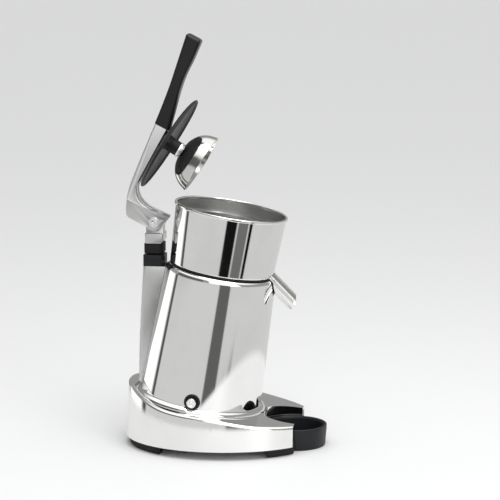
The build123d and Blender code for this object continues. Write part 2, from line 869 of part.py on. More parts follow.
# ---- hinge: head on the post, bushes, pin and lever arm ----
tongue_half_width = 8.5
cheek_inner_x = 8.9
cheek_outer_x = 16.0
pin_r = 4.0
bush_r = 6.0
with BuildPart() as hinge_head:
    side_block([(-12.6, -16.5), (-12.6, -26), (-10, -30.2), (13.0, -30.2), (13.0, -16.5)], column_half_width)
    with BuildSketch(side):
        Circle(11.6)
        Rectangle(24, 17, align=(Align.CENTER, Align.MAX))
    extrude(amount=tongue_half_width, both=True)
    with BuildSketch(side):
        Circle(bush_r)
    extrude(amount=20, both=True, mode=Mode.SUBTRACT)
    fillet(hinge_head.edges().filter_by(Axis.Z).filter_by(lambda e: abs(e.center().X) > 15), 2)
    with Locations((0, post_y, head_foot_z + 9)):
        Hole(4.5, depth=9)
save(hinge_head.part, "hinge_head")

with BuildPart() as hinge_bush:
    with BuildSketch(side):
        Circle(bush_r)
        Circle(pin_r + 0.05, mode=Mode.SUBTRACT)
    extrude(amount=tongue_half_width + 0.2, both=True)
save(hinge_bush.part, "hinge_bush")

grip_root = (-19.3, 129.0)
arm_top = (-2.5, 137.6)
grip_screw_places = [(-16.8, 150.0), (-25.5, 172.0)]
grip_screw_r = 1.5
with BuildPart() as lever_arm:
    with BuildSketch(side):
        with BuildLine():
            rear = Spline(
                arm_top, (31.0, 58.5), (39.4, 22), tangents=((0.398, -0.917), (0, -1))
            )
            heel = Polyline(rear @ 1, (38.6, 9.5), (35.5, 5.6), (10.5, -7.0))
            ThreePointArc(heel @ 1, (0, -12.2), (-11.0, -5.5))
            nose = Polyline((-11.0, -5.5), (-18.2, 4.2), (-18.9, 6.2))
            belly = Spline(
                nose @ 1, (-3.6, 13.3), (16, 24.5), (24.0, 36), (24.2, 50.5),
                tangents=((0.85, 0.4), (-0.482, 0.876)),
            )
            Line(belly @ 1, grip_root)
            Line(grip_root, arm_top)
        make_face()
    extrude(amount=14, both=True)
    fillet(
        lever_arm.edges().filter_by(lambda e: e.length > 60 and abs(e.center().X) > 13),
        1.8,
    )
    side_block(
        [(37.4, 31.5), (39.2, 20), (38.6, 9.5), (35.5, 5.6), (10.5, -7.0), (0, -5), (-11, -5.5),
         (-18.2, 4.2), (-18.4, 5.6)],
        cheek_outer_x,
    )
    with BuildSketch(side):
        Circle(12.1)
    extrude(amount=cheek_outer_x, both=True)
    for x in (-10.6, 3.4):
        with BuildSketch(side.offset(x)):
            with BuildLine():
                inner = Spline(
                    (-24, -1.5), (-3, 7.5), (20, 21), (30.5, 36), (29, 52), (14, 80),
                    tangents=((0.9, 0.3), (-0.45, 0.89)),
                )
                Polyline(inner @ 1, (-60, 60), (-60, 0), inner @ 0)
            make_face()
        extrude(amount=7.2, mode=Mode.SUBTRACT)
    with BuildSketch(side):
        Circle(14.2)
        Rectangle(25, 40, align=(Align.CENTER, Align.MAX))
        Rectangle(25, 40, rotation=-closing_angle, align=(Align.CENTER, Align.MAX))
        with BuildLine():
            Polyline((0, 0), (10, -40), (-40, -40), (-40, 16), (-5, 16), close=True)
        make_face()
    extrude(amount=cheek_inner_x, both=True, mode=Mode.SUBTRACT)
    with BuildSketch(side):
        Circle(pin_r + 0.02)
    extrude(amount=20, both=True, mode=Mode.SUBTRACT)
    side_block([(-12.6, 125.0), (-3.6, 129.6), (-28, 190), (-37, 186)], 4.0)
    with BuildSketch(side.offset(-11.5)):
        with Locations(*grip_screw_places):
            Circle(grip_screw_r)
    extrude(amount=18, mode=Mode.SUBTRACT)
    with BuildSketch(head_across(0)):
        Circle(4.1)
    extrude(amount=-40, mode=Mode.SUBTRACT)
    with BuildSketch(head_across(-22)):
        Circle(7.2)
    extrude(amount=-20, mode=Mode.SUBTRACT)
save(lever_arm.part, "lever_arm")

with BuildPart() as hinge_pin:
    with BuildSketch(side.offset(-cheek_outer_x - 1)):
        Circle(6.0)
    extrude(amount=1)
    fillet(hinge_pin.faces().sort_by(Axis.X)[0].edges(), 0.4)
    with BuildSketch(side.offset(-cheek_outer_x)):
        Circle(pin_r)
    extrude(amount=2 * cheek_outer_x + 3.5)
    with BuildSketch(side.offset(-cheek_outer_x - 1)):
        RegularPolygon(2.6, 6)
    extrude(amount=3, mode=Mode.SUBTRACT)
save(hinge_pin.part, "hinge_pin")

with BuildPart() as pin_nut:
    with BuildSketch(side.offset(cheek_outer_x)):
        RegularPolygon(6.6, 6)
        Circle(pin_r + 0.01, mode=Mode.SUBTRACT)
    extrude(amount=3.2)
save(pin_nut.part, "pin_nut")

with BuildPart() as grip_root_space:
    side_block([(20, 148), (2, 139.8), (-19.9, 128.6), (-40, 118), (0, 100)], 30)

with BuildPart() as lever_grip:
    with BuildSketch(side):
        with BuildLine():
            back = Spline((-1.2, 138.3), (-10.5, 160.5), (-22, 190.0), (-37.6, 236.2), (-45.8, 261.5))
            end = Polyline(back @ 1, (-47.5, 263.2), (-66.5, 253.6), (-67.4, 250.6))
            front = Spline(end @ 1, (-48.7, 214.5), (-34.5, 178.0), (-28.2, 154.0), (-27.2, 138.5))
            Polyline(front @ 1, (-21.2, 128.0), (-1.2, 138.3))
        make_face()
    extrude(amount=11.5, both=True)
    fillet(lever_grip.edges().filter_by(lambda e: e.length > 50 and abs(e.center().X) > 11), 2.5)
    add(lever_arm.part, mode=Mode.SUBTRACT)
    add(grip_root_space.part, mode=Mode.SUBTRACT)
    with BuildSketch(side.offset(11.5)):
        with Locations(*grip_screw_places):
            Circle(2.7)
    extrude(amount=-2.9, mode=Mode.SUBTRACT)
    with BuildSketch(side.offset(11.5)):
        with Locations(*grip_screw_places):
            Circle(grip_screw_r)
    extrude(amount=-18, mode=Mode.SUBTRACT)
save(lever_grip.part, "lever_grip")

with BuildPart() as grip_screws:
    with BuildSketch(side.offset(11)):
        with Locations(*grip_screw_places):
            Circle(2.6)
    extrude(amount=-2.4)
    with BuildSketch(side.offset(8.6)):
        with Locations(*grip_screw_places):
            Circle(grip_screw_r)
    extrude(amount=-14)
save(grip_screws.part, "grip_screws")

# ---- press head: splash disc, stem and bell-shaped cup ----
with BuildPart() as splash_disc:
    with BuildSketch(head_section):
        with BuildLine():
            back = Spline((9, -6), (32, -5.4), (62, -2.6), (disc_r, 0.6))
            lip = Polyline(back @ 1, (disc_r - 0.4, 3.0), (disc_r - 2.4, 3.4), (disc_r - 4.4, 0.9))
            inner = Spline(lip @ 1, (50, -1.6), (30, -2.4), (9, -2.8))
            Line(inner @ 1, back @ 0)
        make_face()
    revolve(axis=head_axis)
save(splash_disc.part, "splash_disc")

with BuildPart() as stem_spacer:
    head_turned((4.1, -12), (13, -12), (13, -6), (4.1, -6))
    add(lever_arm.part, mode=Mode.SUBTRACT)
    head_solids = stem_spacer.solids().sort_by(SortBy.VOLUME)
save(head_solids[-1], "stem_spacer")

with BuildPart() as cup_stem:
    head_turned((4.1, -6), (8.9, -6), (8.9, -2.7), (11.5, -2.7), (10.4, 2), (10.2, 15.4), (9.4, 16.3), (4.1, 16.3))
save(cup_stem.part, "cup_stem")

with BuildPart() as neck_nut:
    head_turned((4.1, 16.3), (10.2, 16.3), (10.9, 17), (10.9, 19.4), (10.2, 20.1), (4.1, 20.1))
save(neck_nut.part, "neck_nut")

with BuildPart() as press_cup:
    with BuildSketch(head_section):
        with BuildLine():
            outer = Spline(
                (9.4, 20.1), (12.2, 22.2), (21.0, 24.8), (31.5, 31.2), (39.0, 41.5), (cup_r, cup_depth),
                tangents=((0.25, 1), (0.22, 1)),
            )
            lip = Line(outer @ 1, (cup_r - 1.5, cup_depth))
            inner = Spline(
                lip @ 1, (37.4, 42.2), (30.3, 32.4), (20.2, 26.3), (9, 22.0),
                tangents=((-0.22, -1), (-1, -0.3)),
            )
            Polyline(inner @ 1, (4.1, 22.0), (4.1, 20.1), outer @ 0)
        make_face()
    revolve(axis=head_axis)
save(press_cup.part, "press_cup")

with BuildPart() as stem_bolt:
    head_turned((0, -27.5), (6.6, -27.5), (6.6, -22), (4.0, -22), (4.0, 25.8), (0, 25.8))
    with BuildSketch(head_across(-27.5)):
        RegularPolygon(3.4, 6)
    extrude(amount=3, mode=Mode.SUBTRACT)
save(stem_bolt.part, "stem_bolt")

with BuildPart() as cup_nut:
    head_turned((4.02, 22.0), (8.2, 22.0), (8.2, 24.6), (5.5, 26.8), (0, 27.4), (0, 26.0), (4.02, 26.0))
save(cup_nut.part, "cup_nut")

with BuildPart() as column_screws:
    for z in column_screw_heights:
        wall_y = foot_y + (body_radius(z / cos(lean)) - body_wall) * cos(lean) - z * sin(lean) - 1.2
        with BuildSketch(Plane.XZ.offset(-(wall_y - 2.5))):
            with Locations((0, z)):
                Circle(4)
        extrude(amount=-2.5)
        with BuildSketch(Plane.XZ.offset(-wall_y)):
            with Locations((0, z)):
                Circle(column_screw_r)
        extrude(amount=-column_screw_depth)
save(column_screws.part, "column_screws")
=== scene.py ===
import json
import math

import bmesh
import bpy
from mathutils import Matrix, Vector


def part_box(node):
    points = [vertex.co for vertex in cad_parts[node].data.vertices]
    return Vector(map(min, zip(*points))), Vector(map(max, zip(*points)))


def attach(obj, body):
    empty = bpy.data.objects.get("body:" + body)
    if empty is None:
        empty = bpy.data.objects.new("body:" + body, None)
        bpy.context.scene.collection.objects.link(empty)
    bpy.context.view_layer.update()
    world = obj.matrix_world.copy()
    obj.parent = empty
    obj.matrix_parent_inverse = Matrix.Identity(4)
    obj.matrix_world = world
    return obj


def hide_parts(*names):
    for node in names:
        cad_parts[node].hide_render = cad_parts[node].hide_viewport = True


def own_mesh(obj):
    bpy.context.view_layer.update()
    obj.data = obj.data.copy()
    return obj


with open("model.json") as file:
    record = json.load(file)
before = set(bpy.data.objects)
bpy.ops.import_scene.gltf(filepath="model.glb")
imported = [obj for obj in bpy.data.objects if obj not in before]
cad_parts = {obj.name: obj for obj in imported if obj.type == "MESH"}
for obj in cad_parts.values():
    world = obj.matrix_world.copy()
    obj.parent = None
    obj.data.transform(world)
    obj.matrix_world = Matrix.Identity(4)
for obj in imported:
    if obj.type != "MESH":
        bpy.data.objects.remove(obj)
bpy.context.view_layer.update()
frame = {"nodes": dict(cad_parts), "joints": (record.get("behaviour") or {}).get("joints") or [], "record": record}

mm = 0.001
joints = {joint["name"]: joint for joint in frame["joints"]}
bodyOf = {node: body for body, nodes in frame["record"]["behaviour"]["bodies"].items() for node in nodes}
slotOf = {part["node"]: part["material_slot"] for part in frame["record"]["subparts"]}

axisFoot = Vector(joints["drive_spin"]["pos_m"])
axisUp = Vector(joints["drive_spin"]["axis"]).normalized()
lean = math.atan2(-axisUp.y, axisUp.z)
pin = Vector(joints["lever_hinge"]["pos_m"])
closingAngle = math.radians(joints["lever_hinge"]["range_deg"][1])
discDistance = 343.7 * mm  # the splash disc's middle on the leaning axis, lever closed
openTurn = Matrix.Rotation(-closingAngle, 3, "X")
headMiddle = pin + openTurn @ (axisFoot + axisUp * discDistance - pin)
headDown = openTurn @ -axisUp
print("frame loaded,", len(frame["nodes"]), "nodes")


# node helpers
def addNode(tree, kind, settings=None, **values):
    node = tree.nodes.new(kind)
    for key, value in (settings or {}).items():
        setattr(node, key, value)
    for key, value in values.items():
        node.inputs[key.replace("_", " ")].default_value = value
    return node


def newGroup(name, kind, inputs, outputs):
    tree = bpy.data.node_groups.new(name, kind)
    ids = {}
    for label, socketKind, value in inputs:
        socket = tree.interface.new_socket(name=label, in_out="INPUT", socket_type=socketKind)
        if value is not None:
            socket.default_value = value
        ids[label] = socket.identifier
    for label, socketKind in outputs:
        tree.interface.new_socket(name=label, in_out="OUTPUT", socket_type=socketKind)
    return tree, tree.nodes.new("NodeGroupInput"), tree.nodes.new("NodeGroupOutput"), ids


def arithmetic(tree, operation, a, b):
    node = addNode(tree, "ShaderNodeMath", {"operation": operation})
    for socket, value in zip(node.inputs, (a, b)):
        if isinstance(value, (int, float)):
            socket.default_value = value
        else:
            tree.links.new(value, socket)
    return node.outputs[0]


def ramp(tree, source, stops, interpolation="LINEAR"):
    node = addNode(tree, "ShaderNodeValToRGB")
    node.color_ramp.interpolation = interpolation
    while len(node.color_ramp.elements) < len(stops):
        node.color_ramp.elements.new(0.5)
    for element, (place, grey) in zip(node.color_ramp.elements, stops):
        element.position = place
        element.color = (grey, grey, grey, 1) if isinstance(grey, (int, float)) else (*grey, 1)
    tree.links.new(source, node.inputs[0])
    return node.outputs[0]


# shared surface effects
def makeHandlingGroup():
    # soft smudges and a few hair-fine marks, as on metal that is wiped by hand
    tree, source, sink, _ = newGroup(
        "handlingMarks",
        "ShaderNodeTree",
        [("Vector", "NodeSocketVector", None), ("Smudge Scale", "NodeSocketFloat", 18.0),
         ("Mark Scale", "NodeSocketFloat", 90.0)],
        [("Smudges", "NodeSocketFloat"), ("Marks", "NodeSocketFloat")],
    )
    smudge = addNode(tree, "ShaderNodeTexNoise", Detail=4.0, Roughness=0.6)
    tree.links.new(source.outputs["Vector"], smudge.inputs["Vector"])
    tree.links.new(source.outputs["Smudge Scale"], smudge.inputs["Scale"])
    tree.links.new(ramp(tree, smudge.outputs["Fac"], [(0.42, 0.0), (0.72, 1.0)]), sink.inputs["Smudges"])
    marks = addNode(tree, "ShaderNodeTexNoise", Detail=6.0, Roughness=0.7, Distortion=2.5)
    tree.links.new(source.outputs["Vector"], marks.inputs["Vector"])
    tree.links.new(source.outputs["Mark Scale"], marks.inputs["Scale"])
    thin = arithmetic(tree, "ABSOLUTE", arithmetic(tree, "SUBTRACT", marks.outputs["Fac"], 0.5), 0)
    tree.links.new(ramp(tree, thin, [(0.0, 1.0), (0.012, 0.0)]), sink.inputs["Marks"])
    return tree


def makeGrainGroup():
    # fine isotropic grain: blasted castings, moulded plastic and rubber
    tree, source, sink, _ = newGroup(
        "fineGrain",
        "ShaderNodeTree",
        [("Vector", "NodeSocketVector", None), ("Grain Scale", "NodeSocketFloat", 900.0),
         ("Cell Share", "NodeSocketFloat", 0.4)],
        [("Height", "NodeSocketFloat"), ("Mottle", "NodeSocketFloat")],
    )
    noise = addNode(tree, "ShaderNodeTexNoise", Detail=3.0, Roughness=0.55)
    cells = addNode(tree, "ShaderNodeTexVoronoi", {"feature": "SMOOTH_F1"})
    mottle = addNode(tree, "ShaderNodeTexNoise", Scale=35.0, Detail=5.0)
    for node in (noise, cells, mottle):
        tree.links.new(source.outputs["Vector"], node.inputs["Vector"])
    tree.links.new(source.outputs["Grain Scale"], noise.inputs["Scale"])
    tree.links.new(source.outputs["Grain Scale"], cells.inputs["Scale"])
    mixed = addNode(tree, "ShaderNodeMix", {"data_type": "FLOAT"})
    tree.links.new(source.outputs["Cell Share"], mixed.inputs[0])
    tree.links.new(noise.outputs["Fac"], mixed.inputs[2])
    tree.links.new(cells.outputs["Distance"], mixed.inputs[3])
    tree.links.new(mixed.outputs[0], sink.inputs["Height"])
    tree.links.new(mottle.outputs["Fac"], sink.inputs["Mottle"])
    return tree


def makeLayGroup():
    # very fine lines left by polishing or spinning, square to a leaning axis
    tree, source, sink, _ = newGroup(
        "polishingLay",
        "ShaderNodeTree",
        [("Vector", "NodeSocketVector", None), ("Tilt", "NodeSocketFloat", 0.0),
         ("Fineness", "NodeSocketFloat", 700.0)],
        [("Height", "NodeSocketFloat")],
    )
    turn = addNode(tree, "ShaderNodeVectorRotate", {"rotation_type": "X_AXIS"})
    tree.links.new(source.outputs["Vector"], turn.inputs["Vector"])
    tree.links.new(arithmetic(tree, "MULTIPLY", source.outputs["Tilt"], -1.0), turn.inputs["Angle"])
    apart = addNode(tree, "ShaderNodeSeparateXYZ")
    tree.links.new(turn.outputs["Vector"], apart.inputs["Vector"])
    together = addNode(tree, "ShaderNodeCombineXYZ")
    tree.links.new(arithmetic(tree, "MULTIPLY", apart.outputs["X"], 9.0), together.inputs["X"])
    tree.links.new(arithmetic(tree, "MULTIPLY", apart.outputs["Y"], 9.0), together.inputs["Y"])
    tree.links.new(arithmetic(tree, "MULTIPLY", apart.outputs["Z"], source.outputs["Fineness"]), together.inputs["Z"])
    noise = addNode(tree, "ShaderNodeTexNoise", Scale=1.0, Detail=3.0, Roughness=0.6)
    tree.links.new(together.outputs["Vector"], noise.inputs["Vector"])
    tree.links.new(noise.outputs["Fac"], sink.inputs["Height"])
    return tree


handlingGroup = makeHandlingGroup()
grainGroup = makeGrainGroup()
layGroup = makeLayGroup()


# materials
def placeGroup(tree, group, vector, **values):
    node = addNode(tree, "ShaderNodeGroup", {"node_tree": group}, **values)
    tree.links.new(vector, node.inputs["Vector"])
    return node


def spread(tree, mask, low, high):
    # maps a mask onto a range of roughness or brightness
    node = addNode(tree, "ShaderNodeMapRange", To_Min=low, To_Max=high)
    tree.links.new(mask, node.inputs["Value"])
    return node.outputs["Result"]


def tinted(tree, mask, colourA, colourB):
    node = addNode(tree, "ShaderNodeMix", {"data_type": "RGBA"})
    node.inputs[6].default_value = (*colourA, 1)
    node.inputs[7].default_value = (*colourB, 1)
    tree.links.new(mask, node.inputs[0])
    return node.outputs[2]


def bumped(tree, height, strength, distance, under=None):
    node = addNode(tree, "ShaderNodeBump", Strength=strength, Distance=distance)
    tree.links.new(height, node.inputs["Height"])
    if under is not None:
        tree.links.new(under, node.inputs["Normal"])
    return node.outputs["Normal"]


def startMaterial(name):
    material = bpy.data.materials.new(name)
    material.use_nodes = True
    tree = material.node_tree
    shader = tree.nodes["Principled BSDF"]
    vector = addNode(tree, "ShaderNodeTexCoord").outputs["Object"]
    return material, tree, shader, vector


def metalMaterial(name, settings):
    material, tree, shader, vector = startMaterial(name)
    marks = placeGroup(tree, handlingGroup, vector, Smudge_Scale=settings["smudgeScale"])
    lay = placeGroup(tree, layGroup, vector, Tilt=settings["tilt"], Fineness=settings["fineness"])
    shader.inputs["Metallic"].default_value = 1.0
    colour = tinted(tree, marks.outputs["Smudges"], settings["colour"], settings["dulled"])
    tree.links.new(colour, shader.inputs["Base Color"])
    low, high = settings["roughness"]
    tree.links.new(spread(tree, marks.outputs["Smudges"], low, high), shader.inputs["Roughness"])
    lines = bumped(tree, lay.outputs["Height"], settings["layStrength"], 0.02 * mm)
    tree.links.new(bumped(tree, marks.outputs["Marks"], 0.05, 0.01 * mm, lines), shader.inputs["Normal"])
    return material


def grainMaterial(name, settings):
    material, tree, shader, vector = startMaterial(name)
    grain = placeGroup(tree, grainGroup, vector, Grain_Scale=settings["grainScale"],
                       Cell_Share=settings["cellShare"])
    marks = placeGroup(tree, handlingGroup, vector, Smudge_Scale=24.0)
    shader.inputs["Metallic"].default_value = settings["metallic"]
    shader.inputs["Coat Weight"].default_value = settings.get("coat", 0.0)
    shader.inputs["Specular IOR Level"].default_value = settings.get("sheen", 0.5)
    colour = tinted(tree, grain.outputs["Mottle"], settings["colour"], settings["dulled"])
    tree.links.new(colour, shader.inputs["Base Color"])
    low, high = settings["roughness"]
    tree.links.new(spread(tree, marks.outputs["Smudges"], low, high), shader.inputs["Roughness"])
    normal = bumped(tree, grain.outputs["Height"], settings["grainStrength"], settings["grainDepth"])
    tree.links.new(normal, shader.inputs["Normal"])
    return material


metalFinishes = {
    "polished_body": {"colour": (0.86, 0.86, 0.845), "dulled": (0.80, 0.80, 0.785), "roughness": (0.035, 0.075),
                      "smudgeScale": 12.0, "tilt": lean, "fineness": 900.0, "layStrength": 0.05},
    "stainless": {"colour": (0.85, 0.85, 0.835), "dulled": (0.79, 0.79, 0.775), "roughness": (0.04, 0.09),
                  "smudgeScale": 16.0, "tilt": lean, "fineness": 1400.0, "layStrength": 0.08},
    "brushed_stainless": {"colour": (0.50, 0.50, 0.49), "dulled": (0.40, 0.40, 0.39), "roughness": (0.30, 0.38),
                          "smudgeScale": 20.0, "tilt": lean, "fineness": 1600.0, "layStrength": 0.25},
    "pressed_stainless": {"colour": (0.74, 0.74, 0.72), "dulled": (0.68, 0.68, 0.66), "roughness": (0.10, 0.16),
                          "smudgeScale": 26.0, "tilt": lean, "fineness": 1400.0, "layStrength": 0.10},
    "chrome_trim": {"colour": (0.88, 0.88, 0.88), "dulled": (0.80, 0.80, 0.80), "roughness": (0.03, 0.10),
                    "smudgeScale": 60.0, "tilt": 0.0, "fineness": 900.0, "layStrength": 0.04},
    "steel": {"colour": (0.55, 0.55, 0.55), "dulled": (0.45, 0.45, 0.45), "roughness": (0.22, 0.36),
              "smudgeScale": 30.0, "tilt": 0.0, "fineness": 1200.0, "layStrength": 0.3},
    "laminated_steel": {"colour": (0.30, 0.30, 0.31), "dulled": (0.20, 0.20, 0.21), "roughness": (0.4, 0.55),
                        "smudgeScale": 30.0, "tilt": lean, "fineness": 6000.0, "layStrength": 0.9},
    "copper_wire": {"colour": (0.72, 0.36, 0.18), "dulled": (0.55, 0.25, 0.12), "roughness": (0.25, 0.4),
                    "smudgeScale": 60.0, "tilt": lean, "fineness": 4000.0, "layStrength": 0.9},
    "bronze": {"colour": (0.66, 0.48, 0.26), "dulled": (0.52, 0.36, 0.20), "roughness": (0.3, 0.45),
               "smudgeScale": 60.0, "tilt": 0.0, "fineness": 1500.0, "layStrength": 0.3},
}
grainFinishes = {
    "satin_aluminium": {"colour": (0.68, 0.685, 0.675), "dulled": (0.58, 0.585, 0.575), "metallic": 1.0,
                        "roughness": (0.28, 0.38), "grainScale": 1800.0, "cellShare": 0.3,
                        "grainStrength": 0.35, "grainDepth": 0.03 * mm},
    "black_plastic": {"colour": (0.007, 0.008, 0.009), "dulled": (0.012, 0.013, 0.015), "metallic": 0.0, "sheen": 0.3,
                      "roughness": (0.38, 0.50), "grainScale": 1500.0, "cellShare": 0.5,
                      "grainStrength": 0.35, "grainDepth": 0.04 * mm},
    # lighter than black_plastic: on the splash disc's underside it is a painted sheen, not wear
    "painted_sheen_plastic": {"colour": (0.022, 0.022, 0.024), "dulled": (0.034, 0.034, 0.036), "metallic": 0.0, "sheen": 0.4,
                     "roughness": (0.45, 0.6), "grainScale": 1500.0, "cellShare": 0.5,
                     "grainStrength": 0.3, "grainDepth": 0.04 * mm},
    "black_grip": {"colour": (0.007, 0.007, 0.008), "dulled": (0.012, 0.012, 0.014), "metallic": 0.0, "sheen": 0.35,
                   "roughness": (0.28, 0.40), "grainScale": 1200.0, "cellShare": 0.6,
                   "grainStrength": 0.25, "grainDepth": 0.03 * mm},
    "rubber": {"colour": (0.008, 0.008, 0.009), "dulled": (0.014, 0.014, 0.015), "metallic": 0.0, "sheen": 0.25,
               "roughness": (0.55, 0.75), "grainScale": 1100.0, "cellShare": 0.2,
               "grainStrength": 0.4, "grainDepth": 0.05 * mm},
    "switch_plastic": {"colour": (0.10, 0.10, 0.11), "dulled": (0.13, 0.13, 0.14), "metallic": 0.0,
                       "roughness": (0.4, 0.5), "grainScale": 900.0, "cellShare": 0.3,
                       "grainStrength": 0.2, "grainDepth": 0.03 * mm},
    "white_plastic": {"colour": (0.80, 0.80, 0.77), "dulled": (0.72, 0.72, 0.68), "metallic": 0.0,
                      "roughness": (0.35, 0.5), "grainScale": 900.0, "cellShare": 0.3,
                      "grainStrength": 0.2, "grainDepth": 0.03 * mm},
}
materials = {name: metalMaterial(name, finish) for name, finish in metalFinishes.items()}
materials.update({name: grainMaterial(name, finish) for name, finish in grainFinishes.items()})
print("materials made,", len(materials))


# mesh helpers
def addPiece(name, mesh):
    piece = bpy.data.objects.new(name, mesh)
    bpy.context.scene.collection.objects.link(piece)
    return piece


def meshFrom(bm, name):
    bmesh.ops.remove_doubles(bm, verts=bm.verts, dist=0.001 * mm)
    bmesh.ops.recalc_face_normals(bm, faces=bm.faces)
    mesh = bpy.data.meshes.new(name)
    bm.to_mesh(mesh)
    bm.free()
    return mesh


def shaded(mesh, sharpAngle=32.0):
    mesh.shade_smooth()
    mesh.set_sharp_from_angle(angle=math.radians(sharpAngle))


def evaluated(piece):
    # the piece's mesh with its modifiers worked in, and the modifiers removed
    bpy.context.view_layer.update()
    depsgraph = bpy.context.evaluated_depsgraph_get()
    mesh = bpy.data.meshes.new_from_object(piece.evaluated_get(depsgraph))
    piece.modifiers.clear()
    piece.data = mesh
    return piece


def finishPiece(piece, nodes, sharpAngle=32.0, body=None, slot=None, finish=None):
    # shades the piece, gives it its material and ties it to the frame
    names = [nodes] if isinstance(nodes, str) else list(nodes)
    slotName = slot or slotOf[names[0]]
    piece.data.materials.clear()
    piece.data.materials.append(materials[finish or slotName])
    shaded(piece.data, sharpAngle)
    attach(piece, body or bodyOf[names[0]])
    if names:
        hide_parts(*names)
    return piece


def roundedOutline(corners, closed=False, steps=5):
    # each corner is (radius, height, rounding); sharp where the rounding is left out
    points = []
    count = len(corners)
    for i, corner in enumerate(corners):
        here = Vector(corner[:2])
        rounding = corner[2] if len(corner) > 2 else 0
        if rounding <= 0 or (not closed and i in (0, count - 1)):
            points.append(here)
            continue
        toLast = Vector(corners[i - 1][:2]) - here
        toNext = Vector(corners[(i + 1) % count][:2]) - here
        half = toLast.angle(toNext) / 2
        setback = min(rounding / math.tan(half), toLast.length * 0.49, toNext.length * 0.49)
        first = here + toLast.normalized() * setback
        last = here + toNext.normalized() * setback
        for k in range(steps + 1):
            t = k / steps
            points.append(first * (1 - t) ** 2 + here * (2 * t * (1 - t)) + last * t ** 2)
    return points


def smoothOutline(points, steps=8):
    # a curve through the points, for an outline that has no corners
    out = []
    for i in range(len(points) - 1):
        before = Vector(points[max(i - 1, 0)])
        start, end = Vector(points[i]), Vector(points[i + 1])
        after = Vector(points[min(i + 2, len(points) - 1)])
        for k in range(steps):
            t = k / steps
            out.append(0.5 * (2 * start + (end - before) * t
                              + (2 * before - 5 * start + 4 * end - after) * t * t
                              + (3 * start - before - 3 * end + after) * t ** 3))
    out.append(Vector(points[-1]))
    return out


def turnedMesh(name, outline, origin, direction, sides=192, closed=False):
    # outline points are (radius, height)
    zAxis = direction.normalized()
    xAxis = Vector((1, 0, 0)) if abs(zAxis.x) < 0.5 else Vector((0, 1, 0))
    yAxis = zAxis.cross(xAxis).normalized()
    bm = bmesh.new()
    rows = []
    for radius, height in outline:
        centre = origin + zAxis * height
        if radius < 0.005 * mm:
            rows.append([bm.verts.new(centre)])
            continue
        row = []
        for k in range(sides):
            angle = 2 * math.pi * k / sides
            outward = xAxis * math.cos(angle) + yAxis * math.sin(angle)
            row.append(bm.verts.new(centre + outward * radius))
        rows.append(row)
    pairs = list(zip(rows, rows[1:]))
    if closed:
        pairs.append((rows[-1], rows[0]))
    for low, high in pairs:
        for k in range(sides):
            n = (k + 1) % sides
            ring = [low[k % len(low)], low[n % len(low)], high[n % len(high)], high[k % len(high)]]
            corners = list(dict.fromkeys(ring))
            if len(corners) > 2:
                bm.faces.new(corners)
    return meshFrom(bm, name)


def prismMesh(name, points, along):
    bm = bmesh.new()
    face = bm.faces.new([bm.verts.new(p) for p in points])
    grown = bmesh.ops.extrude_face_region(bm, geom=[face])
    moved = [v for v in grown["geom"] if isinstance(v, bmesh.types.BMVert)]
    bmesh.ops.translate(bm, verts=moved, vec=along)
    return meshFrom(bm, name)


def cut(piece, cutters):
    for cutter in cutters:
        tool = piece.modifiers.new("cut", "BOOLEAN")
        tool.operation = "DIFFERENCE"
        tool.solver = "EXACT"
        tool.object = cutter
    evaluated(piece)
    for cutter in cutters:
        bpy.data.objects.remove(cutter)
    return piece


def mergedCopy(node, name):
    # a welded copy of a CAD node, with its flat areas joined into single faces
    bm = bmesh.new()
    bm.from_mesh(frame["nodes"][node].data)
    bmesh.ops.remove_doubles(bm, verts=bm.verts, dist=0.002 * mm)
    bmesh.ops.dissolve_limit(bm, angle_limit=math.radians(0.4), verts=bm.verts, edges=bm.edges)
    mesh = bpy.data.meshes.new(name)
    bm.to_mesh(mesh)
    bm.free()
    for label in ("custom_normal", "sharp_edge", "sharp_face"):
        layer = mesh.attributes.get(label)
        if layer is not None:
            mesh.attributes.remove(layer)
    return addPiece(name, mesh)


def bevelled(piece, width, segments=2, angle=30.0):
    tool = piece.modifiers.new("edges", "BEVEL")
    tool.width = width
    tool.segments = segments
    tool.limit_method = "ANGLE"
    tool.angle_limit = math.radians(angle)
    tool.harden_normals = False
    return evaluated(piece)


def reach(node, origin=axisFoot, direction=axisUp):
    # lowest and highest place of a node along an axis, and its largest radius about it
    low, high, wide = 1e9, -1e9, 0.0
    for vertex in frame["nodes"][node].data.vertices:
        offset = vertex.co - origin
        height = offset.dot(direction)
        low, high = min(low, height), max(high, height)
        wide = max(wide, (offset - direction * height).length)
    return low, high, wide


# bowl, strainer and spout
bowlShape = {"lowRadius": 73.3 * mm, "neckRadius": 78.1 * mm, "wall": 1.4 * mm, "bead": 1.9 * mm,
             "tubeRadius": 14.5 * mm, "tubeHeight": 15.0 * mm, "sides": 288}


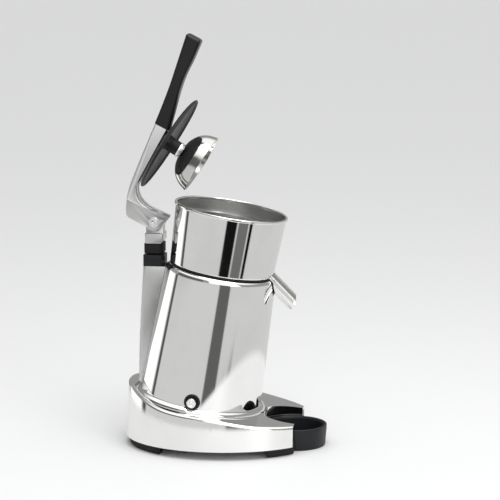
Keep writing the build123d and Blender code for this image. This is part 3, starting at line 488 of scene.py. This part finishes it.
def buildBowl():
    shape = bowlShape
    low, high, wide = reach("bowl")
    wall, bead = shape["wall"], shape["bead"]
    under = high - 2 * bead
    corners = [
        (shape["tubeRadius"], low),
        (shape["lowRadius"], low, 2.6 * mm),
        (shape["neckRadius"] - 0.1 * mm, under, 0.6 * mm),
        (wide, under, bead * 0.95),
        (wide, high, bead * 0.95),
        (wide - 2 * bead, high, bead * 0.95),
        (wide - 2 * bead, under, bead * 0.7),
        (shape["lowRadius"] - wall, low + wall, 4.0 * mm),
        (shape["tubeRadius"] + wall, low + wall, 2.0 * mm),
        (shape["tubeRadius"] + wall, low + shape["tubeHeight"], 0.6 * mm),
        (shape["tubeRadius"], low + shape["tubeHeight"], 0.6 * mm),
    ]
    outline = roundedOutline(corners, closed=True, steps=7)
    mesh = turnedMesh("bowlShell", outline, axisFoot, axisUp, shape["sides"], closed=True)
    bowl = finishPiece(addPiece("bowlShell", mesh), "bowl", 40.0)
    bowl.data.materials.append(materials["brushed_stainless"])
    for face in bowl.data.polygons:
        offset = face.center - axisFoot
        outward = offset - axisUp * offset.dot(axisUp)
        if offset.dot(axisUp) < under and face.normal.dot(outward) < 0 and outward.length > 20 * mm:
            face.material_index = 1


def buildSpout():
    finishPiece(mergedCopy("spout", "spoutChannel"), "spout", 40.0)


buildBowl()
buildSpout()
print("bowl and spout built")


# repeated pieces: one tree for rings of copies about an axis
def makeRingTree():
    tree, source, sink, ids = newGroup(
        "ringOfCopies",
        "GeometryNodeTree",
        [("Geometry", "NodeSocketGeometry", None), ("Count", "NodeSocketInt", 8),
         ("Ring Radius", "NodeSocketFloat", 0.0), ("Height", "NodeSocketFloat", 0.0),
         ("Tilt", "NodeSocketFloat", 0.0), ("Foot", "NodeSocketVector", None),
         ("Finish", "NodeSocketMaterial", None)],
        [("Geometry", "NodeSocketGeometry")],
    )
    circle = addNode(tree, "GeometryNodeMeshCircle")
    tree.links.new(source.outputs["Count"], circle.inputs["Vertices"])
    tree.links.new(source.outputs["Ring Radius"], circle.inputs["Radius"])
    index = addNode(tree, "GeometryNodeInputIndex")
    share = arithmetic(tree, "DIVIDE", index.outputs[0], source.outputs["Count"])
    spin = addNode(tree, "ShaderNodeCombineXYZ")
    tree.links.new(arithmetic(tree, "MULTIPLY", share, 2 * math.pi), spin.inputs["Z"])
    copies = addNode(tree, "GeometryNodeInstanceOnPoints")
    tree.links.new(circle.outputs["Mesh"], copies.inputs["Points"])
    tree.links.new(source.outputs["Geometry"], copies.inputs["Instance"])
    tree.links.new(spin.outputs["Vector"], copies.inputs["Rotation"])
    raised = addNode(tree, "ShaderNodeCombineXYZ")
    tree.links.new(source.outputs["Height"], raised.inputs["Z"])
    lift = addNode(tree, "GeometryNodeTransform")
    tree.links.new(copies.outputs["Instances"], lift.inputs["Geometry"])
    tree.links.new(raised.outputs["Vector"], lift.inputs["Translation"])
    tiltVector = addNode(tree, "ShaderNodeCombineXYZ")
    tree.links.new(source.outputs["Tilt"], tiltVector.inputs["X"])
    leanOver = addNode(tree, "GeometryNodeTransform")
    tree.links.new(lift.outputs["Geometry"], leanOver.inputs["Geometry"])
    tree.links.new(tiltVector.outputs["Vector"], leanOver.inputs["Rotation"])
    tree.links.new(source.outputs["Foot"], leanOver.inputs["Translation"])
    real = addNode(tree, "GeometryNodeRealizeInstances")
    tree.links.new(leanOver.outputs["Geometry"], real.inputs["Geometry"])
    finish = addNode(tree, "GeometryNodeSetMaterial")
    tree.links.new(real.outputs["Geometry"], finish.inputs["Geometry"])
    tree.links.new(source.outputs["Finish"], finish.inputs["Material"])
    tree.links.new(finish.outputs["Geometry"], sink.inputs["Geometry"])
    return tree, ids


ringTree, ringIds = makeRingTree()


def ringOfCopies(name, mesh, material, count, radius, height):
    piece = addPiece(name, mesh)
    tool = piece.modifiers.new("ring", "NODES")
    tool.node_group = ringTree
    tool[ringIds["Count"]] = count
    tool[ringIds["Ring Radius"]] = radius
    tool[ringIds["Height"]] = height
    tool[ringIds["Tilt"]] = lean
    tool[ringIds["Foot"]] = axisFoot
    tool[ringIds["Finish"]] = material
    return evaluated(piece)


def joined(name, pieces):
    bm = bmesh.new()
    for piece in pieces:
        bm.from_mesh(piece.data)
        bpy.data.objects.remove(piece)
    mesh = bpy.data.meshes.new(name)
    bm.to_mesh(mesh)
    bm.free()
    return addPiece(name, mesh)


# reamer: a cone with ribs that stand off it
reamerShape = {"ribs": 8, "ribThick": 2.6 * mm, "flangeRadius": 32.0 * mm, "flangeThick": 3.0 * mm,
               "socketHeight": 27.0 * mm,
               "cone": [(25.0, 3.5), (21.5, 17.0), (14.5, 29.5), (6.0, 38.5), (0.0, 41.5)],
               "crest": [(30.5, 3.5), (27.5, 17.5), (19.5, 31.0), (8.5, 41.5), (0.6, 45.3)]}


def buildReamer():
    shape = reamerShape
    low, _, _ = reach("reamer")
    cone = smoothOutline([(r * mm, h * mm) for r, h in shape["cone"]], 10)
    wide, thick = shape["flangeRadius"], shape["flangeThick"]
    flange = roundedOutline([
        (9.0 * mm, 0.0), (wide, 0.0, 1.0 * mm), (wide, thick, 1.2 * mm), (25.0 * mm, 3.5 * mm)], steps=5)
    roof = shape["socketHeight"]
    shell = [Vector((0.0, roof)), Vector((9.0 * mm, roof))] + flange[:-1] + cone
    mesh = turnedMesh("reamerCone", shell, axisFoot + axisUp * low, axisUp, 192)
    finishPiece(addPiece("reamerCone", mesh), "reamer", 35.0)
    crest = smoothOutline([(r * mm, h * mm) for r, h in shape["crest"]], 8)
    half = shape["ribThick"] / 2
    bm = bmesh.new()
    rows = []
    for point in crest:
        inner = max(point.x - 9.0 * mm, 0.0)
        profile = [(inner, -half * 1.7), (point.x - 1.6 * mm, -half * 0.8), (point.x - 0.4 * mm, -half * 0.35),
                   (point.x, 0.0), (point.x - 0.4 * mm, half * 0.35), (point.x - 1.6 * mm, half * 0.8),
                   (inner, half * 1.7)]
        rows.append([bm.verts.new((max(x, 0.0), y, point.y - (0 if k in (2, 3, 4) else 0.6 * mm)))
                     for k, (x, y) in enumerate(profile)])
    for lowRow, highRow in zip(rows, rows[1:]):
        for k in range(len(lowRow)):
            n = (k + 1) % len(lowRow)
            bm.faces.new((lowRow[k], lowRow[n], highRow[n], highRow[k]))
    bm.faces.new(rows[0])
    bm.faces.new(rows[-1])
    rib = meshFrom(bm, "reamerRib")
    ribs = ringOfCopies("reamerRibs", rib, materials["stainless"], shape["ribs"], 0.0, low)
    finishPiece(ribs, [], 50.0, body="reamer", slot="stainless")


# strainer: perforated basket with rolled rims round its holes
strainerShape = {"rings": 5, "firstRadius": 25.0 * mm, "ringStep": 6.8 * mm, "firstCount": 16, "countStep": 6,
                 "holeRadius": 1.5 * mm, "rimThick": 0.28 * mm, "floor": 263.0 * mm}


def buildStrainer():
    shape = strainerShape
    finishPiece(mergedCopy("strainer", "strainerBasket"), "strainer", 40.0, finish="pressed_stainless")
    rims = []
    for ring in range(shape["rings"]):
        outline = []
        for k in range(6):
            angle = 2 * math.pi * k / 6
            outline.append((shape["holeRadius"] + shape["rimThick"] * (1 + math.cos(angle)),
                            shape["rimThick"] * math.sin(angle)))
        rim = turnedMesh("holeRim", outline, Vector((0, 0, 0)), Vector((0, 0, 1)), 14, closed=True)
        rims.append(ringOfCopies("holeRims", rim, materials["stainless"],
                                 shape["firstCount"] + shape["countStep"] * ring,
                                 shape["firstRadius"] + shape["ringStep"] * ring, shape["floor"]))
    finishPiece(joined("strainerHoleRims", rims), [], 50.0, body="strainer", slot="stainless")


buildReamer()
buildStrainer()
print("reamer and strainer built")


# body: one polished shell with a rounded shoulder
bodyShape = {"wall": 2.0 * mm, "shoulder": 9.0 * mm, "topHole": 30.0 * mm, "lowRadius": 86.3 * mm,
             "highRadius": 77.2 * mm, "flare": 1.6 * mm, "flareHeight": 5.0 * mm, "sides": 320,
             "notchHalfWidth": 17.2 * mm, "notchDrop": 4.0 * mm, "notchRise": 40.0 * mm,
             "spoutStart": (-73.0 * mm, 283.0 * mm), "buttonHole": 10.0 * mm, "holeReach": 30.0 * mm}


def buildBody():
    shape = bodyShape
    low, high, _ = reach("body_housing")
    wall, lowRadius, highRadius = shape["wall"], shape["lowRadius"], shape["highRadius"]
    corners = [
        (shape["topHole"], high),
        (highRadius, high, shape["shoulder"]),
        (lowRadius, low + shape["flareHeight"], 8.0 * mm),
        (lowRadius + shape["flare"], low + 0.5 * mm, 0.5 * mm),
        (lowRadius - wall, low),
        (highRadius - wall, high - wall, shape["shoulder"] - wall),
        (shape["topHole"], high - wall),
    ]
    outline = roundedOutline(corners, closed=True, steps=14)
    mesh = turnedMesh("bodyShell", outline, axisFoot, axisUp, shape["sides"], closed=True)
    piece = addPiece("bodyShell", mesh)
    downSpout = Vector((0, -1, -1)).normalized()
    acrossSpout = Vector((0, -1, 1)).normalized()
    start = Vector((0, axisFoot.y + shape["spoutStart"][0], shape["spoutStart"][1]))
    half, drop = shape["notchHalfWidth"], shape["notchDrop"]
    section = [(half * math.cos(a), -half * math.sin(a) - drop) for a in [math.pi * k / 24 for k in range(25)]]
    section += [(-half, shape["notchRise"]), (half, shape["notchRise"])]
    points = [start + Vector((x, 0, 0)) + acrossSpout * y for x, y in section]
    notch = addPiece("notchCutter", prismMesh("notchCutter", points, downSpout * 0.11))
    bezelLow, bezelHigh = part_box("button_bezel")
    centre = (bezelLow + bezelHigh) / 2
    wide, deep = shape["buttonHole"], shape["holeReach"]
    hole = turnedMesh("holeCutter", [(0, -deep), (wide, -deep), (wide, deep), (0, deep)],
                      Vector((bezelLow.x, centre.y, centre.z)), Vector((1, 0, 0)), 64)
    cut(piece, [notch, addPiece("holeCutter", hole)])
    finishPiece(piece, "body_housing", 30.0)


# base casting and feet
baseShape = {"halfWidth": 112.0 * mm, "rearLength": 130.0 * mm, "frontLength": 145.0 * mm, "draft": 5.5 * mm,
             "draftHeight": 90.0 * mm, "edgeRadius": 4.5 * mm, "middle": -35.0 * mm}


def smoothBaseSides(mesh):
    # the drafted sides and their rounded top edge take the normals of the egg-shaped plan
    shape = baseShape
    middle = axisFoot.y + shape["middle"]
    low = min(vertex.co.z for vertex in mesh.vertices)
    tilt = math.atan2(shape["draft"], shape["draftHeight"])
    normals = [Vector((0, 0, 0))] * len(mesh.loops)
    for face in mesh.polygons:
        for index in face.loop_indices:
            place = mesh.vertices[mesh.loops[index].vertex_index].co
            inset = shape["draft"] * (place.z - low) / shape["draftHeight"]
            along = (shape["rearLength"] if place.y > middle else shape["frontLength"]) - inset
            wide = shape["halfWidth"] - inset
            slope = Vector((place.x / wide ** 2, (place.y - middle) / along ** 2, 0))
            share = math.sqrt((place.x / wide) ** 2 + ((place.y - middle) / along) ** 2)
            depth = (1 - share) * share / slope.length
            outward = slope.normalized()
            facing = face.normal.dot(outward)
            if depth > shape["edgeRadius"] * 1.06 or facing < 0.12 or face.normal.z < -0.1:
                break
            turn = tilt
            if face.normal.z > 0.12:
                turn += math.acos(max(-1, min(1, 1 - max(depth, 0) / shape["edgeRadius"])))
            normals[index] = outward * math.cos(turn) + Vector((0, 0, math.sin(turn)))
        else:
            continue
        for index in face.loop_indices:
            normals[index] = Vector((0, 0, 0))
    mesh.normals_split_custom_set(normals)


def buildBase():
    casting = finishPiece(mergedCopy("base_casting", "baseCasting"), "base_casting", 34.0)
    smoothBaseSides(casting.data)
    finishPiece(bevelled(mergedCopy("rubber_feet", "footPads"), 0.8 * mm), "rubber_feet", 34.0)


trayShape = {"corners": [(0, 2.5), (36, 2.5, 1), (37, 0, 0.6), (41, 0, 1.2), (42.6, 2, 1.5), (44.5, 24, 2),
                         (44.5, 30, 1.4), (41.5, 30, 1.2), (40.3, 27, 1.5), (39.7, 7, 2.5), (38, 5.2, 1), (0, 5.2)]}


def buildTray():
    low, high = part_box("drip_tray")
    middle = (low + high) / 2
    corners = [tuple(value * mm for value in corner) for corner in trayShape["corners"]]
    outline = roundedOutline(corners, steps=6)
    mesh = turnedMesh("dripTray", outline, Vector((0, middle.y, low.z)), Vector((0, 0, 1)), 192)
    finishPiece(addPiece("dripTray", mesh), "drip_tray", 40.0)


buildBody()
buildBase()
buildTray()
print("body, base and tray built")


# column, boot and hinge
edgedPieces = {
    "column_housing": ("columnShell", 0.7 * mm), "column_cap": ("columnCap", 0.8 * mm),
    "post_boot": ("postBoot", 0.9 * mm), "hinge_head": ("hingeHead", 0.5 * mm),
    "lever_arm": ("leverArm", 0.35 * mm), "hinge_pin": ("hingePin", 0.25 * mm), "pin_nut": ("pinNut", 0.25 * mm),
    "button_plunger": ("buttonPlunger", 0.4 * mm),
    "spout_cradle": ("spoutCradle", 0.3 * mm),
}


def shorten(piece):
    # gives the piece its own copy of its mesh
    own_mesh(piece)


def buildEdgedPieces():
    for node, (name, width) in edgedPieces.items():
        piece = finishPiece(bevelled(mergedCopy(node, name), width), node, 34.0)
        if node == "post_boot":
            shorten(piece)


springShape = {"coilRadius": 4.9 * mm, "wire": 0.8 * mm, "pitch": 4.2 * mm, "steps": 36, "wireSides": 12}


def buildSpring():
    shape = springShape
    low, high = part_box("return_spring")
    middle = (low + high) / 2
    wire = shape["wire"]
    rise = high.z - low.z - 2.2 * wire
    turns = rise / shape["pitch"]
    count = int(turns * shape["steps"])
    bm = bmesh.new()
    rows = []
    for i in range(count + 1):
        angle = 2 * math.pi * turns * i / count
        outward = Vector((math.cos(angle), math.sin(angle), 0))
        centre = Vector((0, middle.y, low.z + 1.1 * wire + rise * i / count)) + outward * shape["coilRadius"]
        rows.append([bm.verts.new(centre + outward * (wire * math.cos(2 * math.pi * k / shape["wireSides"]))
                                  + Vector((0, 0, wire * math.sin(2 * math.pi * k / shape["wireSides"]))))
                     for k in range(shape["wireSides"])])
    for lowRow, highRow in zip(rows, rows[1:]):
        for k in range(shape["wireSides"]):
            n = (k + 1) % shape["wireSides"]
            bm.faces.new((lowRow[k], lowRow[n], highRow[n], highRow[k]))
    bm.faces.new(rows[0])
    bm.faces.new(rows[-1])
    spring = finishPiece(addPiece("returnSpring", meshFrom(bm, "returnSpring")), "return_spring", 40.0)
    shorten(spring)


gripShape = {"halfWidth": 11.5 * mm, "corner": 0.30, "sideSlope": (-0.888, -0.46), "endRound": 3.2 * mm,
             "stations": [(-1.2, 138.3, 22.5), (-10.5, 160.5, 19.7), (-22.0, 190.0, 16.5), (-30.0, 213.5, 17.2),
                          (-37.6, 236.2, 20.6), (-46.5, 262.9, 23.2)]}


def buildGrip():
    shape = gripShape
    slope = Vector(shape["sideSlope"]).normalized()
    stations = smoothOutline([Vector(row) * mm for row in shape["stations"]], 12)
    rows = []
    bm = bmesh.new()
    for station in stations:
        fromEnd = (stations[-1] - station).length
        shrink = 0.0
        if fromEnd < shape["endRound"]:
            rounding = shape["endRound"]
            shrink = rounding - math.sqrt(max(rounding ** 2 - (rounding - fromEnd) ** 2, 0))
            shrink *= 0.7
        rear = Vector((station.x, station.y))
        middle = rear + slope * station.z / 2
        halfDepth = station.z / 2 - shrink
        halfWidth = shape["halfWidth"] - shrink
        row = []
        for k in range(64):
            angle = 2 * math.pi * k / 64
            c, s = math.cos(angle), math.sin(angle)
            across = math.copysign(abs(c) ** shape["corner"], c) * halfDepth
            wide = math.copysign(abs(s) ** shape["corner"], s) * halfWidth
            place = middle + slope * across
            row.append(bm.verts.new(Vector((wide, pin.y + place.x, pin.z + place.y))))
        rows.append(row)
    for low, high in zip(rows, rows[1:]):
        for k in range(64):
            n = (k + 1) % 64
            bm.faces.new((low[k], low[n], high[n], high[k]))
    bm.faces.new(rows[0])
    bm.faces.new(rows[-1])
    mesh = meshFrom(bm, "leverGrip")
    finishPiece(addPiece("leverGrip", mesh), "lever_grip", 45.0)


buildEdgedPieces()
buildSpring()
buildGrip()
print("column and lever built")


# press head
headShape = {
    "disc": {"back": [(9, -6), (32, -5.4), (62, -2.6), (71, 0.6)],
             "lip": [(70.8, 2.6), (69.6, 3.5), (68.0, 3.2), (66.6, 1.0)],
             "under": [(50, -1.6), (30, -2.4), (9, -2.8)]},
    "stem": [(4.1, -6), (8.9, -6), (8.9, -2.7, 0.2), (11.5, -2.7, 0.8), (10.4, 2, 2), (10.2, 15.4, 0.8),
             (9.4, 16.3, 0.3), (4.1, 16.3)],
    "nut": [(4.1, 16.3), (10.2, 16.3, 0.5), (10.9, 17, 0.5), (10.9, 19.4, 0.5), (10.2, 20.1, 0.3), (4.1, 20.1)],
    "cupOuter": [(9.4, 20.1), (12.2, 22.2), (21.0, 24.8), (31.5, 31.2), (39.0, 41.5), (43.4, 54.9)],
    "cupInner": [(41.9, 54.9), (37.4, 42.2), (30.3, 32.4), (20.2, 26.3), (9, 22.0)],
}


def scaled(points):
    return [tuple(value * mm for value in point) for point in points]


def buildHead():
    disc = headShape["disc"]
    back = smoothOutline(scaled(disc["back"]), 12)
    lip = smoothOutline(scaled([disc["back"][-1]] + disc["lip"]), 4)[1:]
    under = smoothOutline(scaled([disc["lip"][-1]] + disc["under"]), 10)[1:]
    mesh = turnedMesh("splashDisc", back + lip + under, headMiddle, headDown, 224, closed=True)
    disc = finishPiece(addPiece("splashDisc", mesh), "splash_disc", 50.0)
    # the disc's downward-facing side gets the lighter plastic, a painted sheen on one side of one material
    disc.data.materials.append(materials["painted_sheen_plastic"])
    for face in disc.data.polygons:
        if face.normal.dot(headDown) > 0.3:
            face.material_index = 1
    for name, node, key in (("cupStem", "cup_stem", "stem"), ("neckRing", "neck_nut", "nut")):
        outline = roundedOutline(scaled(headShape[key]), closed=True, steps=4)
        mesh = turnedMesh(name, outline, headMiddle, headDown, 96, closed=True)
        finishPiece(addPiece(name, mesh), node, 40.0)
    outer = smoothOutline(scaled(headShape["cupOuter"]), 12)
    inner = smoothOutline(scaled(headShape["cupInner"]), 12)
    mid = Vector((42.65 * mm, 55.35 * mm))
    outline = outer + [mid] + inner + [Vector((4.1 * mm, 22.0 * mm)), Vector((4.1 * mm, 20.1 * mm))]
    mesh = turnedMesh("pressCup", outline, headMiddle, headDown, 224, closed=True)
    finishPiece(addPiece("pressCup", mesh), "press_cup", 50.0, finish="pressed_stainless")


buildHead()
print("press head built")


# button bezel: a turned ring round the plunger
bezelShape = {"outer": 11.3 * mm, "inner": 7.7 * mm, "neck": 9.9 * mm, "flange": 2.4 * mm}


def buildBezel():
    shape = bezelShape
    low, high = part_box("button_bezel")
    centre = (low + high) / 2
    depth = high.x - low.x
    outline = roundedOutline([
        (shape["inner"], 0, 0.5 * mm), (shape["outer"], 0, 1.1 * mm), (shape["outer"], shape["flange"], 0.2 * mm),
        (shape["neck"], shape["flange"]), (shape["neck"], depth), (shape["inner"], depth)], closed=True, steps=5)
    mesh = turnedMesh("buttonBezel", outline, Vector((low.x, centre.y, centre.z)), Vector((1, 0, 0)), 96, closed=True)
    finishPiece(addPiece("buttonBezel", mesh), "button_bezel", 40.0)


buttonShape = [(0, 0.35), (1.9, 0.35, 0.1), (2.1, 0.1, 0.1), (2.7, 0.1, 0.1), (2.9, 0.35, 0.1), (4.4, 0.35, 0.1),
               (4.7, 0.02, 0.15), (6.1, 0.02, 0.4), (6.5, 0.5, 0.2), (6.5, 1.0), (0, 1.0)]


def buildButtonFace():
    low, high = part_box("button_face")
    centre = (low + high) / 2
    outline = roundedOutline([tuple(value * mm for value in row) for row in buttonShape], steps=4)
    mesh = turnedMesh("buttonFace", outline, Vector((low.x, centre.y, centre.z)), Vector((1, 0, 0)), 72)
    finishPiece(addPiece("buttonFace", mesh), "button_face", 40.0)


washerShape = {"inner": 6.15 * mm, "outer": 7.4 * mm, "proud": 0.5 * mm}


def buildPinRing():
    # shallow ring pressed round the head of the hinge pin
    shape = washerShape
    armLow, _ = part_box("lever_arm")
    depth = shape["proud"]
    outline = roundedOutline([(shape["inner"], 0.6 * mm), (shape["inner"], -depth, 0.2 * mm),
                              (shape["outer"], -depth, 0.3 * mm), (shape["outer"], 0.6 * mm)], closed=True, steps=3)
    mesh = turnedMesh("pinRing", outline, Vector((armLow.x, pin.y, pin.z)), Vector((1, 0, 0)), 64, closed=True)
    finishPiece(addPiece("pinRing", mesh), [], 40.0, body=bodyOf["hinge_pin"], slot=slotOf["hinge_pin"])


buildBezel()
buildButtonFace()
buildPinRing()


# the nodes whose CAD shape is kept
def paintFrameNodes():
    for name, node in frame["nodes"].items():
        if node.hide_render:
            continue
        node.data.materials.clear()
        node.data.materials.append(materials[slotOf[name]])


paintFrameNodes()
print("carried-over nodes painted")


# studio
studio = {"floorSize": 30.0, "seenInMetal": (0.42, 0.50), "backdrop": (0.80, 0.81, 0.82), "strength": 1.3}
# what stands round the machine in the polished metal: a grey wall with panels and flags before it, as rows of
# (first turn, last turn, brightness), in degrees from +X; the wall is the brightness everywhere else
lowPanels = {"wall": 0.75, "rows": [(20, 40, 0.3), (45, 80, 1.0), (85, 90, 0.1), (180, 200, 0.1), (205, 225, 0.4),
                                    (230, 235, 0.05)]}
middlePanels = {"wall": 0.75, "rows": [(20, 40, 0.5), (45, 80, 1.0), (85, 90, 0.3), (190, 210, 0.35)]}
highPanels = {"wall": 0.55, "rows": [(90, 155, 0.35), (170, 235, 1.0)]}
panelEdge = 2.0  # degrees over which a panel fades into the wall


def panelStops(panels):
    stops = [(0.0, panels["wall"])]
    for first, last, brightness in panels["rows"]:
        stops += [(first - panelEdge, panels["wall"]), (first, brightness),
                  (last, brightness), (last + panelEdge, panels["wall"])]
    return stops + [(360.0, panels["wall"])]


def tone(brightness):
    return brightness ** 2.2


def buildWorld():
    world = bpy.data.worlds.new("studioWorld")
    bpy.context.scene.world = world
    world.use_nodes = True
    tree = world.node_tree
    tree.nodes.clear()
    direction = addNode(tree, "ShaderNodeTexCoord").outputs["Generated"]
    apart = addNode(tree, "ShaderNodeSeparateXYZ")
    tree.links.new(direction, apart.inputs["Vector"])
    turn = arithmetic(tree, "ARCTAN2", apart.outputs["Y"], apart.outputs["X"])
    share = arithmetic(tree, "FRACT", arithmetic(tree, "ADD", arithmetic(tree, "DIVIDE", turn, 2 * math.pi), 1.0), 0)
    bands = []
    for panels in (lowPanels, middlePanels, highPanels):
        stops = [(angle / 360, tone(value)) for angle, value in panelStops(panels)]
        bands.append(ramp(tree, share, stops))
    height = apart.outputs["Z"]

    def blended(a, b, low, high):
        mask = addNode(tree, "ShaderNodeMapRange", {"interpolation_type": "SMOOTHSTEP"}, From_Min=low, From_Max=high)
        tree.links.new(height, mask.inputs["Value"])
        mix = addNode(tree, "ShaderNodeMix", {"data_type": "RGBA"})
        tree.links.new(mask.outputs["Result"], mix.inputs[0])
        for socket, value in ((mix.inputs[6], a), (mix.inputs[7], b)):
            if isinstance(value, tuple):
                socket.default_value = value
            else:
                tree.links.new(value, socket)
        return mix.outputs[2]

    lower = blended(bands[0], bands[1], -0.30, -0.24)
    middle = blended(lower, bands[2], 0.02, 0.20)
    overall = blended(middle, (1.0, 1.0, 1.0, 1), 0.55, 0.80)
    lit = addNode(tree, "ShaderNodeBackground", Strength=studio["strength"])
    tree.links.new(overall, lit.inputs["Color"])
    seen = addNode(tree, "ShaderNodeBackground", Color=(*studio["backdrop"], 1), Strength=1.0)
    path = addNode(tree, "ShaderNodeLightPath")
    either = addNode(tree, "ShaderNodeMixShader")
    tree.links.new(path.outputs["Is Camera Ray"], either.inputs[0])
    tree.links.new(lit.outputs[0], either.inputs[1])
    tree.links.new(seen.outputs[0], either.inputs[2])
    sink = addNode(tree, "ShaderNodeOutputWorld")
    tree.links.new(either.outputs[0], sink.inputs["Surface"])


def buildFloor():
    half = studio["floorSize"] / 2
    bm = bmesh.new()
    bmesh.ops.create_grid(bm, x_segments=8, y_segments=8, size=half)
    mesh = bpy.data.meshes.new("studioFloor")
    bm.to_mesh(mesh)
    bm.free()
    floor = addPiece("studioFloor", mesh)
    material, tree, shader, vector = startMaterial("floorPaint")
    grain = placeGroup(tree, grainGroup, vector, Grain_Scale=60.0, Cell_Share=0.1)
    tree.links.new(tinted(tree, grain.outputs["Mottle"], (0.78, 0.785, 0.79), (0.80, 0.80, 0.80)),
                   shader.inputs["Base Color"])
    shader.inputs["Roughness"].default_value = 0.55
    # metal sees only the near part of the floor; past it, the studio's wall and panels
    distance = addNode(tree, "ShaderNodeVectorMath", {"operation": "LENGTH"})
    tree.links.new(vector, distance.inputs[0])
    fade = addNode(tree, "ShaderNodeMapRange", {"interpolation_type": "SMOOTHSTEP"},
                   From_Min=studio["seenInMetal"][0], From_Max=studio["seenInMetal"][1])
    tree.links.new(distance.outputs["Value"], fade.inputs["Value"])
    path = addNode(tree, "ShaderNodeLightPath")
    notSeen = arithmetic(tree, "SUBTRACT", 1.0, path.outputs["Is Camera Ray"])
    gone = addNode(tree, "ShaderNodeBsdfTransparent")
    mix = addNode(tree, "ShaderNodeMixShader")
    tree.links.new(arithmetic(tree, "MULTIPLY", fade.outputs["Result"], notSeen), mix.inputs[0])
    tree.links.new(shader.outputs[0], mix.inputs[1])
    tree.links.new(gone.outputs[0], mix.inputs[2])
    tree.links.new(mix.outputs[0], tree.nodes["Material Output"].inputs["Surface"])
    mesh.materials.append(material)


lamps = {
    "overheadSoftbox": {"place": (-0.5, -0.3, 1.9), "size": 1.4, "watts": 16.0},
    "frontFill": {"place": (-2.2, -1.9, 1.2), "size": 0.9, "watts": 8.0},
}


def buildLamps():
    middle = Vector((0, 0, 0.25))
    for name, lamp in lamps.items():
        light = bpy.data.lights.new(name, "AREA")
        light.size = lamp["size"]
        light.energy = lamp["watts"]
        holder = bpy.data.objects.new(name, light)
        holder.location = lamp["place"]
        holder.rotation_euler = (middle - Vector(lamp["place"])).to_track_quat("-Z", "Y").to_euler()
        bpy.context.scene.collection.objects.link(holder)


cameraPlace = {"from": (-3.044, -0.5367, 0.793), "at": (0.0, -0.08165, 0.2755), "lens": 161.06, "sensor": 36.0}


def buildCamera():
    # both points are given from the foot of the leaning axis
    data = bpy.data.cameras.new("camera")
    data.lens = cameraPlace["lens"]
    data.sensor_width = cameraPlace["sensor"]
    camera = bpy.data.objects.new("camera", data)
    start = Vector(cameraPlace["from"]) + Vector((0, axisFoot.y, 0))
    target = Vector(cameraPlace["at"]) + Vector((0, axisFoot.y, 0))
    camera.location = start
    camera.rotation_euler = (target - start).to_track_quat("-Z", "Y").to_euler()
    bpy.context.scene.collection.objects.link(camera)
    bpy.context.scene.camera = camera


buildWorld()
buildFloor()
buildLamps()
buildCamera()
bpy.context.scene.view_settings.view_transform = "Standard"
print("studio set")
